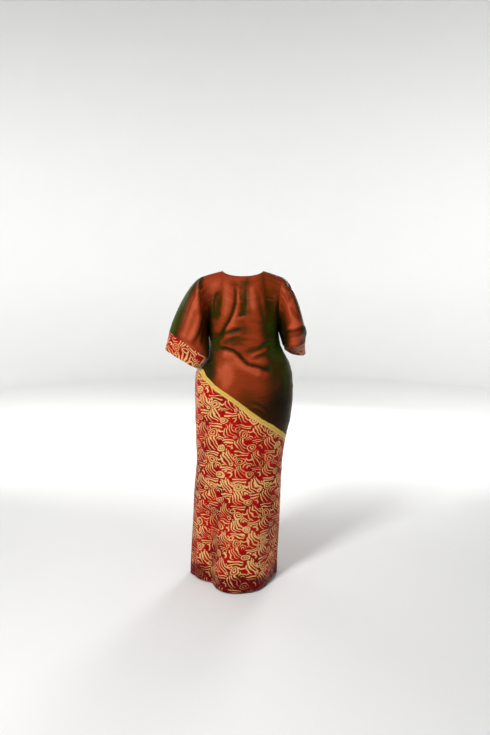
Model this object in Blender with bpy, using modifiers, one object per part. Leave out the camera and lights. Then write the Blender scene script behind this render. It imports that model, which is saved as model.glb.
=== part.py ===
"""Worn boubou robe of two cloths: a shot-silk upper body with wide elbow sleeves, a brocade skirt that
is joined to it along a slanting seam under a gold braid, and brocade cuffs.

Metres, +Z up. The back of the robe faces -Y and its front +Y. +X is the wearer's right, so the slanting
seam climbs from the wearer's right hip to the left one. The origin is midway between the two neck
points, at the top of the shoulder seams, where the wearer's shoulders carry the robe.
"""

import math
from collections import namedtuple

import bmesh
import bpy
import numpy as np

# The worn robe: shoulders, neck and armholes.
UNDERARM_Z = -0.275
HEM_Z = -1.441
NECK_HALF_WIDTH = 0.089
NECK_BACK_DEPTH = 0.065
NECK_BACK_DROP = 0.021
NECK_FRONT_DEPTH = 0.095
NECK_FRONT_DROP = 0.070
SHOULDER_HALF_WIDTH = 0.179
SHOULDER_DROP_LEFT = 0.024
SHOULDER_DROP_RIGHT = 0.029
ARMHOLE_DEPTH = 0.062
ARMHOLE_INSET = 0.010

# Cloth and trimmings.
SILK_WALL = 0.0016
BROCADE_WALL = 0.0020
SEAM_GAP = 0.0003
EDGE_STRIP = 0.003
NECK_POINT_EASE = 0.0004
BRAID_WIDTH = 0.0195
BRAID_WALL = 0.0014
BRAID_LIFT = 0.0004
SLIT_X = 0.020
SLIT_WIDTH = 0.0012
SLIT_LENGTH = 0.024
BUTTON_RADIUS = 0.0030
BUTTON_HEIGHT = 0.0022

# How finely the cloth is divided.
NECK_COLUMNS = 8
SHOULDER_COLUMNS = 6
YOKE_ROWS = 12
HIP_ROWS = 10
SKIRT_ROWS = 17
SLEEVE_ROWS = 12
CUFF_ROWS = 3

LEFT = -1
RIGHT = 1
BACK = -1
FRONT = 1

# The body's sections from the underarm to the hem: middle, half width, how far the back and the front
# stand from the side seams, and the exponent of the outline.
Section = namedtuple("Section", "z centre half_width back front square")
SECTIONS = (
    Section(-1.441, -0.046, 0.209, 0.205, 0.175, 2.00),
    Section(-1.327, -0.042, 0.207, 0.182, 0.165, 2.00),
    Section(-1.176, -0.033, 0.206, 0.167, 0.155, 2.00),
    Section(-1.026, -0.027, 0.204, 0.158, 0.150, 2.00),
    Section(-0.879, -0.017, 0.200, 0.155, 0.150, 2.10),
    Section(-0.763, -0.011, 0.209, 0.160, 0.154, 2.10),
    Section(-0.680, -0.001, 0.220, 0.163, 0.156, 2.10),
    Section(-0.591, 0.004, 0.225, 0.165, 0.158, 2.10),
    Section(-0.520, 0.004, 0.226, 0.163, 0.160, 2.10),
    Section(-0.460, 0.004, 0.221, 0.160, 0.160, 2.15),
    Section(-0.410, 0.011, 0.200, 0.155, 0.158, 2.20),
    Section(-0.373, 0.011, 0.178, 0.150, 0.155, 2.25),
    Section(-0.335, 0.005, 0.166, 0.148, 0.153, 2.30),
    Section(-0.275, 0.004, 0.157, 0.150, 0.150, 2.30),
)

# The slanting seam, as heights over the body's middle width.
SeamPoint = namedtuple("SeamPoint", "x z")
SEAM = (
    SeamPoint(-0.217, -0.430),
    SeamPoint(-0.186, -0.447),
    SeamPoint(-0.162, -0.472),
    SeamPoint(-0.127, -0.505),
    SeamPoint(-0.076, -0.539),
    SeamPoint(-0.026, -0.575),
    SeamPoint(0.025, -0.616),
    SeamPoint(0.075, -0.653),
    SeamPoint(0.127, -0.686),
    SeamPoint(0.180, -0.728),
    SeamPoint(0.204, -0.753),
)

# Folds of the body: a path of (x, z) points on one side, the fold's half width and its height, which is
# less than nothing for a trough.
Fold = namedtuple("Fold", "side half_width height path")
FOLDS = (
    Fold(BACK, 0.015, -0.0080,
         ((-0.034, -0.055), (-0.031, -0.090), (-0.033, -0.131), (-0.045, -0.173), (-0.063, -0.210),
          (-0.096, -0.259), (-0.135, -0.311))),
    Fold(BACK, 0.014, 0.0040,
         ((-0.012, -0.085), (-0.013, -0.131), (-0.024, -0.180), (-0.042, -0.222), (-0.074, -0.270))),
    Fold(BACK, 0.018, -0.0060, ((0.003, -0.045), (-0.002, -0.088), (0.004, -0.131), (0.005, -0.165))),
    Fold(BACK, 0.030, -0.0070,
         ((0.057, -0.050), (0.083, -0.123), (0.105, -0.200), (0.119, -0.276), (0.128, -0.343),
          (0.150, -0.440))),
    Fold(BACK, 0.014, -0.0045, ((-0.116, -0.092), (-0.131, -0.119), (-0.128, -0.190))),
    Fold(BACK, 0.014, -0.0070,
         ((-0.114, -0.333), (-0.076, -0.335), (-0.042, -0.344), (-0.019, -0.360), (0.008, -0.387),
          (0.025, -0.403), (0.058, -0.414), (0.112, -0.422))),
    Fold(BACK, 0.014, 0.0040,
         ((-0.076, -0.362), (-0.045, -0.372), (-0.016, -0.392), (0.015, -0.420), (0.060, -0.436))),
    Fold(BACK, 0.018, -0.0040, ((-0.120, -0.305), (-0.075, -0.268), (-0.035, -0.257), (0.005, -0.248))),
    Fold(BACK, 0.022, -0.0050, ((-0.009, -0.665), (-0.013, -0.800), (-0.012, -0.960))),
    Fold(BACK, 0.022, -0.0045, ((0.094, -0.740), (0.090, -0.890))),
    Fold(BACK, 0.045, -0.0265, ((-0.120, -1.000), (-0.155, -1.441))),
    Fold(BACK, 0.042, -0.0300, ((-0.165, -1.120), (-0.198, -1.441))),
    Fold(BACK, 0.028, -0.0250, ((-0.190, -1.250), (-0.207, -1.441))),
    Fold(BACK, 0.040, -0.0180, ((0.133, -1.220), (0.143, -1.441))),
    Fold(BACK, 0.030, 0.0035, ((0.062, -1.220), (0.070, -1.441))),
    Fold(FRONT, 0.026, -0.0070, ((-0.070, -0.110), (-0.045, -0.200), (-0.020, -0.330))),
    Fold(FRONT, 0.026, -0.0060, ((0.080, -0.120), (0.065, -0.230), (0.030, -0.370))),
    Fold(FRONT, 0.022, -0.0060, ((-0.120, -0.350), (-0.050, -0.385), (0.020, -0.430), (0.110, -0.450))),
    Fold(FRONT, 0.024, -0.0060, ((-0.060, -0.620), (-0.075, -0.900), (-0.110, -1.441))),
    Fold(FRONT, 0.024, -0.0055, ((0.060, -0.760), (0.050, -1.050), (0.040, -1.441))),
)

# One ring of a sleeve: the tips of its oval under the arm and over the arm, the half width of the oval
# between them and the way in which the oval bulges to the front.
Ring = namedtuple("Ring", "under over half_width forward")
# A sleeve: the way its cloth leaves the underarm, and its rings above and below the cuff.
Sleeve = namedtuple("Sleeve", "hand under_way cuff_top cuff_hem")
SLEEVES = {
    "left": Sleeve(
        LEFT,
        (-0.30, -0.60, -0.72),
        Ring((-0.158, -0.112, -0.380), (-0.329, -0.045, -0.268), 0.050, (-0.30, 0.94, 0.10)),
        Ring((-0.203, -0.078, -0.432), (-0.352, -0.010, -0.352), 0.056, (-0.30, 0.94, 0.10)),
    ),
    "right": Sleeve(
        RIGHT,
        (0.32, -0.10, -0.92),
        Ring((0.180, -0.006, -0.332), (0.283, -0.002, -0.312), 0.090, (0.28, 0.94, 0.17)),
        Ring((0.194, 0.076, -0.354), (0.290, 0.058, -0.386), 0.090, (0.22, 0.96, 0.03)),
    ),
}

# Folds of the sleeves: paths of (round, along). Round runs 0 under the arm, 1 over the back to the top
# of the shoulder and 2 over the front to the underarm again; along runs 0 at the armhole, 1 at the cuff.
SleeveFold = namedtuple("SleeveFold", "hand half_width height path")
SLEEVE_FOLDS = (
    SleeveFold(LEFT, 0.016, -0.0080, ((0.80, 0.04), (0.62, 0.16), (0.45, 0.34))),
    SleeveFold(LEFT, 0.018, 0.0050, ((0.62, 0.40), (0.60, 0.70), (0.62, 1.00))),
    SleeveFold(LEFT, 0.018, -0.0060, ((0.30, 0.30), (0.32, 0.60), (0.38, 0.92))),
    SleeveFold(LEFT, 0.018, -0.0060, ((1.30, 0.10), (1.45, 0.45), (1.50, 0.85))),
    SleeveFold(RIGHT, 0.016, -0.0080, ((0.32, 0.62), (0.48, 0.68), (0.65, 0.74), (0.85, 0.80))),
    SleeveFold(RIGHT, 0.018, 0.0050, ((0.35, 0.82), (0.50, 0.86), (0.70, 0.88))),
    SleeveFold(RIGHT, 0.014, -0.0050, ((0.75, 0.08), (0.60, 0.22))),
    SleeveFold(RIGHT, 0.018, -0.0060, ((1.25, 0.15), (1.40, 0.45), (1.45, 0.85))),
)
SLEEVE_ROUND = 0.27
SLEEVE_ALONG = 0.28
SLEEVE_TENSION = 0.72

Finish = namedtuple("Finish", "colour roughness metallic")
SILK = Finish((0.38, 0.09, 0.04), 0.42, 0.0)
BROCADE = Finish((0.42, 0.06, 0.03), 0.50, 0.0)
GOLD_BRAID = Finish((0.70, 0.46, 0.14), 0.40, 0.5)
DARK_BUTTON = Finish((0.03, 0.02, 0.02), 0.35, 0.0)


def smooth(value):
    """Ease from 0 to 1."""
    value = np.clip(value, 0.0, 1.0)
    return value * value * (3.0 - 2.0 * value)


def half_outline(share, half_width, depth, square):
    """Point (x, y) at a share of length, -1 to 1, along half a superellipse; y is 0 at the sides."""
    angle = np.linspace(0.0, math.pi / 2.0, 61)
    across = np.sin(angle) ** (2.0 / square) * half_width
    away = np.cos(angle) ** (2.0 / square) * depth
    length = np.concatenate(([0.0], np.cumsum(np.hypot(np.diff(across), np.diff(away)))))
    place = abs(share) * length[-1]
    return math.copysign(np.interp(place, length, across), share), np.interp(place, length, away)


def section_at(z):
    """The body's section at a height."""
    heights = [section.z for section in SECTIONS]
    return Section(*(np.interp(z, heights, [section[k] for section in SECTIONS]) for k in range(6)))


def seam_height(share):
    """Height of the slanting seam at a share of the way round the back or the front."""
    x = half_outline(share, 0.213, 0.165, 2.1)[0] - 0.001
    return np.interp(x, [point.x for point in SEAM], [point.z for point in SEAM])


def top_edge(side, share):
    """Point of the neckline or of the shoulder seam at a share of the way across."""
    neck_share = NECK_COLUMNS / (NECK_COLUMNS + SHOULDER_COLUMNS)
    if abs(share) <= neck_share:
        depth, drop = (NECK_BACK_DEPTH, NECK_BACK_DROP) if side == BACK else (NECK_FRONT_DEPTH, NECK_FRONT_DROP)
        x, away = half_outline(share / neck_share, NECK_HALF_WIDTH, depth, 2.2)
        return np.array((x, side * away, -drop * (away / depth) ** 1.4))
    along = (abs(share) - neck_share) / (1.0 - neck_share)
    drop = SHOULDER_DROP_LEFT if share < 0 else SHOULDER_DROP_RIGHT
    x = NECK_HALF_WIDTH + (SHOULDER_HALF_WIDTH - NECK_HALF_WIDTH) * along
    return np.array((math.copysign(x, share), 0.0, -drop * along ** 1.15))


def neck_fan(share):
    """Angle by which a column turns outward where it leaves the side of the neckline."""
    place = abs(share) * (NECK_COLUMNS + SHOULDER_COLUMNS) / NECK_COLUMNS
    if place < 0.9:
        return math.radians(34.0) * (place / 0.9) ** 2
    return math.radians(34.0) * max(1.25 - place, 0.0) / 0.35


def yoke_point(side, share, rise):
    """Point above the underarm: rise is 0 at the underarm and 1 at the neckline or shoulder seam."""
    section = section_at(UNDERARM_Z)
    x, away = half_outline(share, section.half_width, section.back if side == BACK else section.front,
                           section.square)
    bottom = np.array((section.centre + x, side * away, UNDERARM_Z))
    top = top_edge(side, share)
    reach = math.radians(90.0 - 32.0 * (1.0 - smooth(abs(share) / 0.62)))
    turn = rise * reach
    back_share = (math.cos(turn) - math.cos(reach)) / (1.0 - math.cos(reach))
    up_share = math.sin(turn) / math.sin(reach)
    edge = abs(share) ** 3
    bow = math.sin(math.pi * min(max(rise, 0.0), 1.0)) ** (0.76 + 0.24 * rise)
    fan = abs(bottom[1] - top[1]) * math.tan(neck_fan(share)) * back_share * math.exp(-back_share / 0.07)
    return np.array((
        bottom[0] + (top[0] - bottom[0]) * up_share ** 1.2
        + math.copysign(fan - ARMHOLE_INSET * edge * bow, share),
        top[1] + (bottom[1] - top[1]) * back_share + side * ARMHOLE_DEPTH * edge * bow,
        bottom[2] + (top[2] - bottom[2]) * up_share,
    ))


def body_point(side, share, level):
    """Point of the body without its folds.

    Level runs 0 at the top, 1 at the underarm, 2 at the slanting seam and 3 at the hem.
    """
    if level < 1.0:
        return yoke_point(side, share, 1.0 - level)
    seam = seam_height(share)
    if level < 2.0:
        z = UNDERARM_Z + (seam - UNDERARM_Z) * (level - 1.0)
    else:
        z = seam + (HEM_Z - seam) * (level - 2.0)
    section = section_at(z)
    x, away = half_outline(share, section.half_width, section.back if side == BACK else section.front,
                           section.square)
    return np.array((section.centre + x, side * away, z))


def unit(vector):
    """The vector at a length of one."""
    return vector / max(np.linalg.norm(vector), 1e-9)


def body_normal(side, share, level):
    """Outward direction of the smooth body at a point."""
    step = 0.01
    across = body_point(side, min(share + step, 1.0), level) - body_point(side, max(share - step, -1.0), level)
    down = (body_point(side, share, min(level + step, 3.0))
            - body_point(side, share, max(level - step, 0.0)))
    return unit(np.cross(across, down) * side)


def distance_to_path(x, z, path):
    """Distance from a point to a path of straight pieces."""
    nearest = 1.0
    for start, end in zip(path, path[1:]):
        span = np.subtract(end, start)
        away = np.array((x - start[0], z - start[1]))
        along = min(max(float(away @ span) / float(span @ span), 0.0), 1.0)
        nearest = min(nearest, float(np.linalg.norm(away - span * along)))
    return nearest


def body_fold(side, x, z):
    """How far the folds move the cloth out at a point."""
    height = 0.0
    for fold in FOLDS:
        if fold.side == side:
            height += fold.height * math.exp(-0.5 * (distance_to_path(x, z, fold.path) / fold.half_width) ** 2)
    return height


def cloth_point(side, share, level, lift=0.0):
    """Point of the folded body, moved out by a lift."""
    point = body_point(side, share, level)
    ease = smooth((1.0 - abs(share)) / 0.12) * smooth(level / 0.18)
    fold = body_fold(side, point[0], point[2]) * ease
    return point + body_normal(side, share, level) * (fold + lift)


def sheet(name, points, wall, finish, closed=False, grow=-1.0):
    """A piece of cloth over a grid of points, thickened by a wall."""
    rows, columns = points.shape[:2]
    bm = bmesh.new()
    bmesh.ops.create_grid(bm, x_segments=columns - 1, y_segments=rows - 1, size=1.0)
    bm.verts.ensure_lookup_table()
    for vertex, point in zip(bm.verts, points.reshape(-1, 3)):
        vertex.co = point
    if closed:
        bmesh.ops.remove_doubles(bm, verts=bm.verts, dist=0.00001)
    mesh = bpy.data.meshes.new(name)
    bm.to_mesh(mesh)
    bm.free()
    piece = bpy.data.objects.new(name, mesh)
    robe.objects.link(piece)
    solidify = piece.modifiers.new("cloth_wall", "SOLIDIFY")
    solidify.thickness = wall
    solidify.offset = grow
    solidify.use_quality_normals = True
    paint(piece, finish)
    return piece


def paint(piece, finish):
    """Give a piece its own plain material."""
    material = bpy.data.materials.new(piece.name + "_finish")
    material.use_nodes = True
    shader = material.node_tree.nodes["Principled BSDF"]
    shader.inputs["Base Color"].default_value = (*finish.colour, 1.0)
    shader.inputs["Roughness"].default_value = finish.roughness
    shader.inputs["Metallic"].default_value = finish.metallic
    piece.data.materials.append(material)


def share_list():
    """Columns from one side seam to the other, with a narrow one beside each seam."""
    count = NECK_COLUMNS + SHOULDER_COLUMNS
    half = [k / count for k in range(1, count)]
    half += [1.0 - EDGE_STRIP / 0.24, 1.0 - SEAM_GAP / 2.0 / 0.24]
    return [-share for share in reversed(half)] + [0.0] + half


def top_level(side, share, distance):
    """Level at a distance below the neckline or the shoulder seam."""
    step = 0.01
    run = body_point(side, share, step) - body_point(side, share, 0.0)
    if abs(share) * (NECK_COLUMNS + SHOULDER_COLUMNS) >= NECK_COLUMNS:
        return distance * step / abs(run[1])
    return distance * step / np.linalg.norm(run)


def shoulder_gap(share):
    """Half the gap along the shoulder seam, a little wider at the neck point where the walls turn."""
    from_neck_point = abs(share) - NECK_COLUMNS / (NECK_COLUMNS + SHOULDER_COLUMNS)
    return SEAM_GAP / 2.0 + NECK_POINT_EASE * math.exp(-(from_neck_point / 0.05) ** 2)


def yoke_rows(side):
    """Rows of the yoke from the top, with a narrow one beside the shoulder seam."""
    rows = [lambda share: top_level(side, share, shoulder_gap(share)),
            lambda share: top_level(side, share, EDGE_STRIP)]
    return rows + [k / YOKE_ROWS for k in range(1, YOKE_ROWS + 1)]


def seam_slope(share):
    """Length along the slanting seam per length across it."""
    step = 0.01
    rise = seam_height(share + step) - seam_height(share - step)
    run = np.linalg.norm(body_point(BACK, share + step, 2.0) - body_point(BACK, share - step, 2.0))
    return run / max(math.sqrt(max(run * run - rise * rise, 1e-8)), 1e-4)


def seam_level(share, below):
    """Level at a distance square to the slanting seam, more than nothing below it."""
    seam = seam_height(share)
    drop = below * min(seam_slope(np.clip(share, -0.98, 0.98)), 1.6)
    if below < 0.0:
        return 2.0 + drop / (UNDERARM_Z - seam)
    return 2.0 + drop / (seam - HEM_Z)


def grid(side, shares, level_rows, lift=0.0):
    """Points of the body for rows of levels, each a number or a rule for a share."""
    return np.array([[cloth_point(side, share, row(share) if callable(row) else row, lift)
                      for share in shares] for row in level_rows])


def spread_rows(first, last, count):
    """Rows evenly between two rules for a share."""
    return [lambda share, k=k: first(share) + (last(share) - first(share)) * k / count
            for k in range(1, count)]


def build_panel(name, side):
    """The shot-silk back or front, from the neck to the slanting seam."""
    braid_edge = BRAID_WIDTH / 2.0
    edge_row = lambda share: seam_level(share, -braid_edge)
    rows = yoke_rows(side)
    rows += spread_rows(lambda share: 1.0, edge_row, HIP_ROWS)
    rows += [edge_row, lambda share: seam_level(share, -SEAM_GAP / 2.0)]
    points = grid(side, share_list(), rows)
    return sheet(name, points if side == FRONT else points[:, ::-1], SILK_WALL, SILK)


def build_skirt(name, side):
    """The brocade back or front, from the slanting seam to the hem."""
    braid_edge = BRAID_WIDTH / 2.0
    edge_row = lambda share: seam_level(share, braid_edge)
    rows = [lambda share: seam_level(share, SEAM_GAP / 2.0), edge_row]
    rows += spread_rows(edge_row, lambda share: 3.0, SKIRT_ROWS)
    rows += [3.0]
    points = grid(side, share_list(), rows)
    return sheet(name, points if side == FRONT else points[:, ::-1], BROCADE_WALL, BROCADE)


def build_braid(name, side):
    """The gold braid over the slanting seam."""
    offsets = (-BRAID_WIDTH / 2.0, -SEAM_GAP / 2.0, SEAM_GAP / 2.0, BRAID_WIDTH / 2.0)
    rows = [lambda share, off=off: seam_level(share, off) for off in offsets]
    points = grid(side, share_list(), rows, lift=BRAID_LIFT)
    return sheet(name, points if side == FRONT else points[:, ::-1], BRAID_WALL, GOLD_BRAID, grow=1.0)


def ring_points(ring, turns):
    """Points of an oval ring; a turn runs 0 under the arm, 1 over it and 2 under it again."""
    under = np.array(ring.under)
    over = np.array(ring.over)
    centre = (under + over) / 2.0
    half = np.linalg.norm(over - under) / 2.0
    upward = unit(over - under)
    forward = np.array(ring.forward)
    forward = unit(forward - upward * float(forward @ upward))
    angle = np.linspace(0.0, math.pi, 121)
    along = -np.cos(angle) * half
    away = np.sin(angle) * ring.half_width
    length = np.concatenate(([0.0], np.cumsum(np.hypot(np.diff(along), np.diff(away)))))
    points = []
    for turn in turns:
        side = BACK if turn <= 1.0 else FRONT
        place = (turn if turn <= 1.0 else 2.0 - turn) * length[-1]
        step_up = np.interp(place, length, along)
        step_out = np.interp(place, length, away)
        points.append(centre + upward * step_up + forward * side * step_out)
    return np.array(points)


def armhole_ring(hand, under_way, turns):
    """Points of the armhole and the directions in which the sleeve leaves it."""
    under_way = np.array(under_way)
    points = []
    ways = []
    for turn in turns:
        side = BACK if turn <= 1.0 else FRONT
        rise = turn if turn <= 1.0 else 2.0 - turn
        point = cloth_point(side, float(hand), 1.0 - rise)
        inner = cloth_point(side, hand * 0.985, 1.0 - rise)
        smooth_way = unit(point - inner)
        outward = body_normal(side, hand * 0.99, 1.0 - rise)
        outward = unit(outward + np.array((hand * 0.8, 0.0, -0.35)))
        turn_out = 1.0 - smooth((rise - 0.25) / 0.75)
        way = smooth_way * (1.0 - turn_out) + outward * turn_out
        turn_down = 1.0 - smooth(rise / 0.22)
        way = unit(way * (1.0 - turn_down) + under_way * turn_down)
        points.append(point + way * SEAM_GAP)
        ways.append(way)
    points[-1] = points[0]
    ways[-1] = ways[0]
    return np.array(points), np.array(ways)


def sleeve_fold(hand, turn, along):
    """How far the folds move a sleeve out."""
    height = 0.0
    for fold in SLEEVE_FOLDS:
        if fold.hand == hand:
            path = [(point[0] * SLEEVE_ROUND, point[1] * SLEEVE_ALONG) for point in fold.path]
            gap = distance_to_path(turn * SLEEVE_ROUND, along * SLEEVE_ALONG, path)
            height += fold.height * math.exp(-0.5 * (gap / fold.half_width) ** 2)
    return height * smooth(along / 0.12)


def sleeve_turns(hand):
    """Places round a sleeve that match the rows of the armhole."""
    even = [k / YOKE_ROWS for k in range(YOKE_ROWS)]
    back = even + [1.0 - top_level(BACK, float(hand), EDGE_STRIP)]
    front = even + [1.0 - top_level(FRONT, float(hand), EDGE_STRIP)]
    return back + [1.0] + [2.0 - rise for rise in reversed(front)]


def sleeve_point(start, way, stop, end_way, tension, along):
    """Point of a sleeve's line from the armhole to the cuff, as a bent line between two directions."""
    square = along * along
    cube = square * along
    return (start * (2.0 * cube - 3.0 * square + 1.0) + way * tension * (cube - 2.0 * square + along)
            + stop * (3.0 * square - 2.0 * cube) + end_way * tension * (cube - square))


def build_sleeve(side_name, sleeve):
    """One sleeve with its cuff."""
    turns = sleeve_turns(sleeve.hand)
    starts, ways = armhole_ring(sleeve.hand, sleeve.under_way, turns)
    tops = ring_points(sleeve.cuff_top, turns)
    hems = ring_points(sleeve.cuff_hem, turns)
    end_ways = np.array([unit(hem - top) for top, hem in zip(tops, hems)])
    shape = []
    for along in [0.0, 0.012] + [k / SLEEVE_ROWS for k in range(1, SLEEVE_ROWS)] + [0.988, 1.0]:
        row = []
        for k in range(len(turns)):
            tension = SLEEVE_TENSION * np.linalg.norm(tops[k] - starts[k])
            row.append(sleeve_point(starts[k], ways[k], tops[k], end_ways[k], tension, along))
        shape.append(row)
    shape = np.array(shape)
    across = np.roll(shape[:, :-1], -1, axis=1) - np.roll(shape[:, :-1], 1, axis=1)
    along_way = np.gradient(shape[:, :-1], axis=0)
    normals = np.cross(across, along_way) * sleeve.hand
    normals /= np.maximum(np.linalg.norm(normals, axis=2, keepdims=True), 1e-9)
    normals = np.concatenate((normals, normals[:, :1]), axis=1)
    alongs = [0.0, 0.012] + [k / SLEEVE_ROWS for k in range(1, SLEEVE_ROWS)] + [0.988, 1.0]
    for row, along in enumerate(alongs):
        for k, turn in enumerate(turns):
            ease = smooth((1.0 - along) / 0.15)
            shape[row, k] += normals[row, k] * sleeve_fold(sleeve.hand, turn, along) * ease
    flip = sleeve.hand == RIGHT
    sheet("sleeve_" + side_name, shape[:, ::-1] if flip else shape, SILK_WALL, SILK, closed=True)
    first = tops + end_ways * SEAM_GAP
    band = np.array([first + (hems - first) * k / CUFF_ROWS for k in range(CUFF_ROWS + 1)])
    sheet("cuff_" + side_name, band[:, ::-1] if flip else band, BROCADE_WALL, BROCADE, closed=True)


def share_at_x(x, level):
    """The share of the back whose point stands at an x."""
    shares = np.linspace(-0.5, 0.5, 101)
    return float(np.interp(x, [body_point(BACK, share, level)[0] for share in shares], shares))


def build_neck_closing(panel):
    """The short slit below the back neck and the button that closes it."""
    top = cloth_point(BACK, share_at_x(SLIT_X, 0.0), 0.0)
    low = cloth_point(BACK, share_at_x(SLIT_X, 0.09), 0.09)
    way = unit(low - top)
    bpy.ops.mesh.primitive_cube_add(size=1.0)
    cutter = bpy.context.object
    cutter.name = "slit_cutter"
    cutter.scale = (SLIT_WIDTH, SLIT_LENGTH, 2.0 * SLIT_LENGTH)
    cutter.location = top
    cutter.location.z += SLIT_LENGTH - abs(way[2]) * SLIT_LENGTH
    for collection in list(cutter.users_collection):
        collection.objects.unlink(cutter)
    cutters.objects.link(cutter)
    cutter.hide_render = True
    cutter.display_type = "WIRE"
    cut = panel.modifiers.new("neck_slit", "BOOLEAN")
    cut.operation = "DIFFERENCE"
    cut.solver = "EXACT"
    cut.object = cutter
    bpy.ops.mesh.primitive_cylinder_add(vertices=20, radius=BUTTON_RADIUS, depth=BUTTON_HEIGHT)
    button = bpy.context.object
    button.name = "neck_button"
    share = share_at_x(SLIT_X + 0.006, 0.05)
    normal = body_normal(BACK, share, 0.05)
    place = cloth_point(BACK, share, 0.05) + normal * (BUTTON_HEIGHT / 2.0 + SEAM_GAP)
    button.location = place
    button.rotation_euler = (math.atan2(math.hypot(normal[0], normal[1]), normal[2]), 0.0,
                             math.atan2(normal[1], normal[0]) + math.pi / 2.0)
    for collection in list(button.users_collection):
        collection.objects.unlink(button)
    robe.objects.link(button)
    rim = button.modifiers.new("button_rim", "BEVEL")
    rim.width = 0.0006
    rim.segments = 2
    paint(button, DARK_BUTTON)


for leftover in list(bpy.data.objects):
    bpy.data.objects.remove(leftover)
robe = bpy.data.collections.new("boubou_robe")
bpy.context.scene.collection.children.link(robe)
cutters = bpy.data.collections.new("cutters")
bpy.context.scene.collection.children.link(cutters)

back_panel = build_panel("back_panel", BACK)
build_panel("front_panel", FRONT)
build_skirt("skirt_back", BACK)
build_skirt("skirt_front", FRONT)
build_braid("braid_back", BACK)
build_braid("braid_front", FRONT)
for sleeve_name, sleeve_sizes in SLEEVES.items():
    build_sleeve(sleeve_name, sleeve_sizes)
build_neck_closing(back_panel)
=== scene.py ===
"""Worn boubou robe, seen from behind: a shot-silk body with wide elbow sleeves, a brocade skirt that
joins it along a slanting seam under a gold braid, and brocade cuffs.

Metres, +Z up. The back of the robe faces -Y. +X is the wearer's right. The origin is midway between the
two neck points, at the top of the shoulder seams.
"""

import logging
import math
from collections.abc import Sequence
from dataclasses import dataclass, field
from enum import Enum

import bmesh
import bpy
import numpy as np
from mathutils import Matrix, Vector


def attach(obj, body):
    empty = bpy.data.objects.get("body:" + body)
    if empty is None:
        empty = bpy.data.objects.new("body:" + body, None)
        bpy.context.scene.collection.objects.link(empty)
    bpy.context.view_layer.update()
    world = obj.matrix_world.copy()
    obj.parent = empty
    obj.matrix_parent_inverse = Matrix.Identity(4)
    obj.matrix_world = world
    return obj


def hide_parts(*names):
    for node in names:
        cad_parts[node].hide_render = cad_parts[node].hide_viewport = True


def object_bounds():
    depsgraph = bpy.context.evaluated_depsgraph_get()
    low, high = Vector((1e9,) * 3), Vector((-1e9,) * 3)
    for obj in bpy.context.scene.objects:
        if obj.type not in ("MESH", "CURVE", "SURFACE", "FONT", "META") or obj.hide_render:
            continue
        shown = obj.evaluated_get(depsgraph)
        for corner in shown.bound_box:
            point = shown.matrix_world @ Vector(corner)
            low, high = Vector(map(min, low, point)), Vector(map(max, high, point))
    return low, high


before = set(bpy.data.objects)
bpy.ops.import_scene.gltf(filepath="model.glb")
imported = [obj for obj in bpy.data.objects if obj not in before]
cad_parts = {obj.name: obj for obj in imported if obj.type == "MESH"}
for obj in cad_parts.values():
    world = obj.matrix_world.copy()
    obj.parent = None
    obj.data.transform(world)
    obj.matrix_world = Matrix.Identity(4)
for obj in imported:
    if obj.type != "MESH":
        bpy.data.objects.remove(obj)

CAD_BOX = [[float(value) for value in corner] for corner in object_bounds()]
BODY = "root"
LOG = logging.getLogger("boubou_robe")

Points = np.ndarray
Material = bpy.types.Material
Piece = bpy.types.Object
NodeTree = bpy.types.NodeTree
Node = bpy.types.Node
Socket = bpy.types.NodeSocket
Triple = tuple[float, float, float]
Colour = tuple[float, ...]


class Side(Enum):
    """The two halves of the body."""

    BACK = -1
    FRONT = 1

    @property
    def word(self) -> str:
        """The side's word in the names of the solids."""
        return self.name.lower()


class Hand(Enum):
    """The wearer's hands, by the way that X runs."""

    LEFT = -1
    RIGHT = 1

    @property
    def word(self) -> str:
        """The hand's word in the names of the solids."""
        return self.name.lower()


# ---------------------------------------------------------------- sizes of the worn form


@dataclass(frozen=True)
class Section:
    """One level section of the body below the underarm."""

    z: float
    centre: float
    half_width: float
    back: float
    front: float
    square: float


@dataclass(frozen=True)
class Fold:
    """A fold along a path of (x, z) on one side; a height of less than nothing is a trough.

    A fold with a taper starts and ends softly, over that share of its path.
    """

    side: Side
    half_width: float
    height: float
    path: tuple[tuple[float, float], ...]
    taper: float = 0.0


@dataclass(frozen=True)
class SleeveFold:
    """A fold along a path of (round, along) on a sleeve.

    Round runs 0 under the arm, 1 over the back to the shoulder and 2 over the front to the underarm.
    Along runs 0 at the armhole and 1 at the cuff.
    """

    hand: Hand
    half_width: float
    height: float
    path: tuple[tuple[float, float], ...]
    taper: float = 0.0


@dataclass(frozen=True)
class Ring:
    """An oval ring of a sleeve: its tips, its half width and the way it bulges to the front."""

    under: Triple
    over: Triple
    half_width: float
    forward: Triple


@dataclass(frozen=True)
class Tint:
    """A soft spot of the shot silk at (x, z) on one side.

    The amount above nothing turns the silk toward olive and green, partly the weave's own shot colour and
    partly painted shade; below nothing it turns the silk toward copper as a painted highlight. Dark is how
    far the spot is darkened, as painted shade.
    """

    side: Side
    x: float
    z: float
    half_width: float
    half_height: float
    amount: float
    turn: float = 0.0
    dark: float = 0.0


MM = 1000.0
PERCENT = 100.0


def points_of(values: Sequence[float], scale: float) -> tuple[tuple[float, float], ...]:
    """Pairs from numbers in turn, divided by a scale."""
    return tuple((values[k] / scale, values[k + 1] / scale) for k in range(0, len(values), 2))


def folds(side: Side, *rows: tuple[float, ...]) -> tuple[Fold, ...]:
    """Folds of one side.

    Args:
        side: the side that carries them.
        rows: for each fold its half width and height in millimetres, its taper in percent, and then the x
            and z of its path in millimetres, in turn.

    Returns:
        The folds.
    """
    return tuple(Fold(side, row[0] / MM, row[1] / MM, points_of(row[3:], MM), row[2] / PERCENT)
                 for row in rows)


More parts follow.
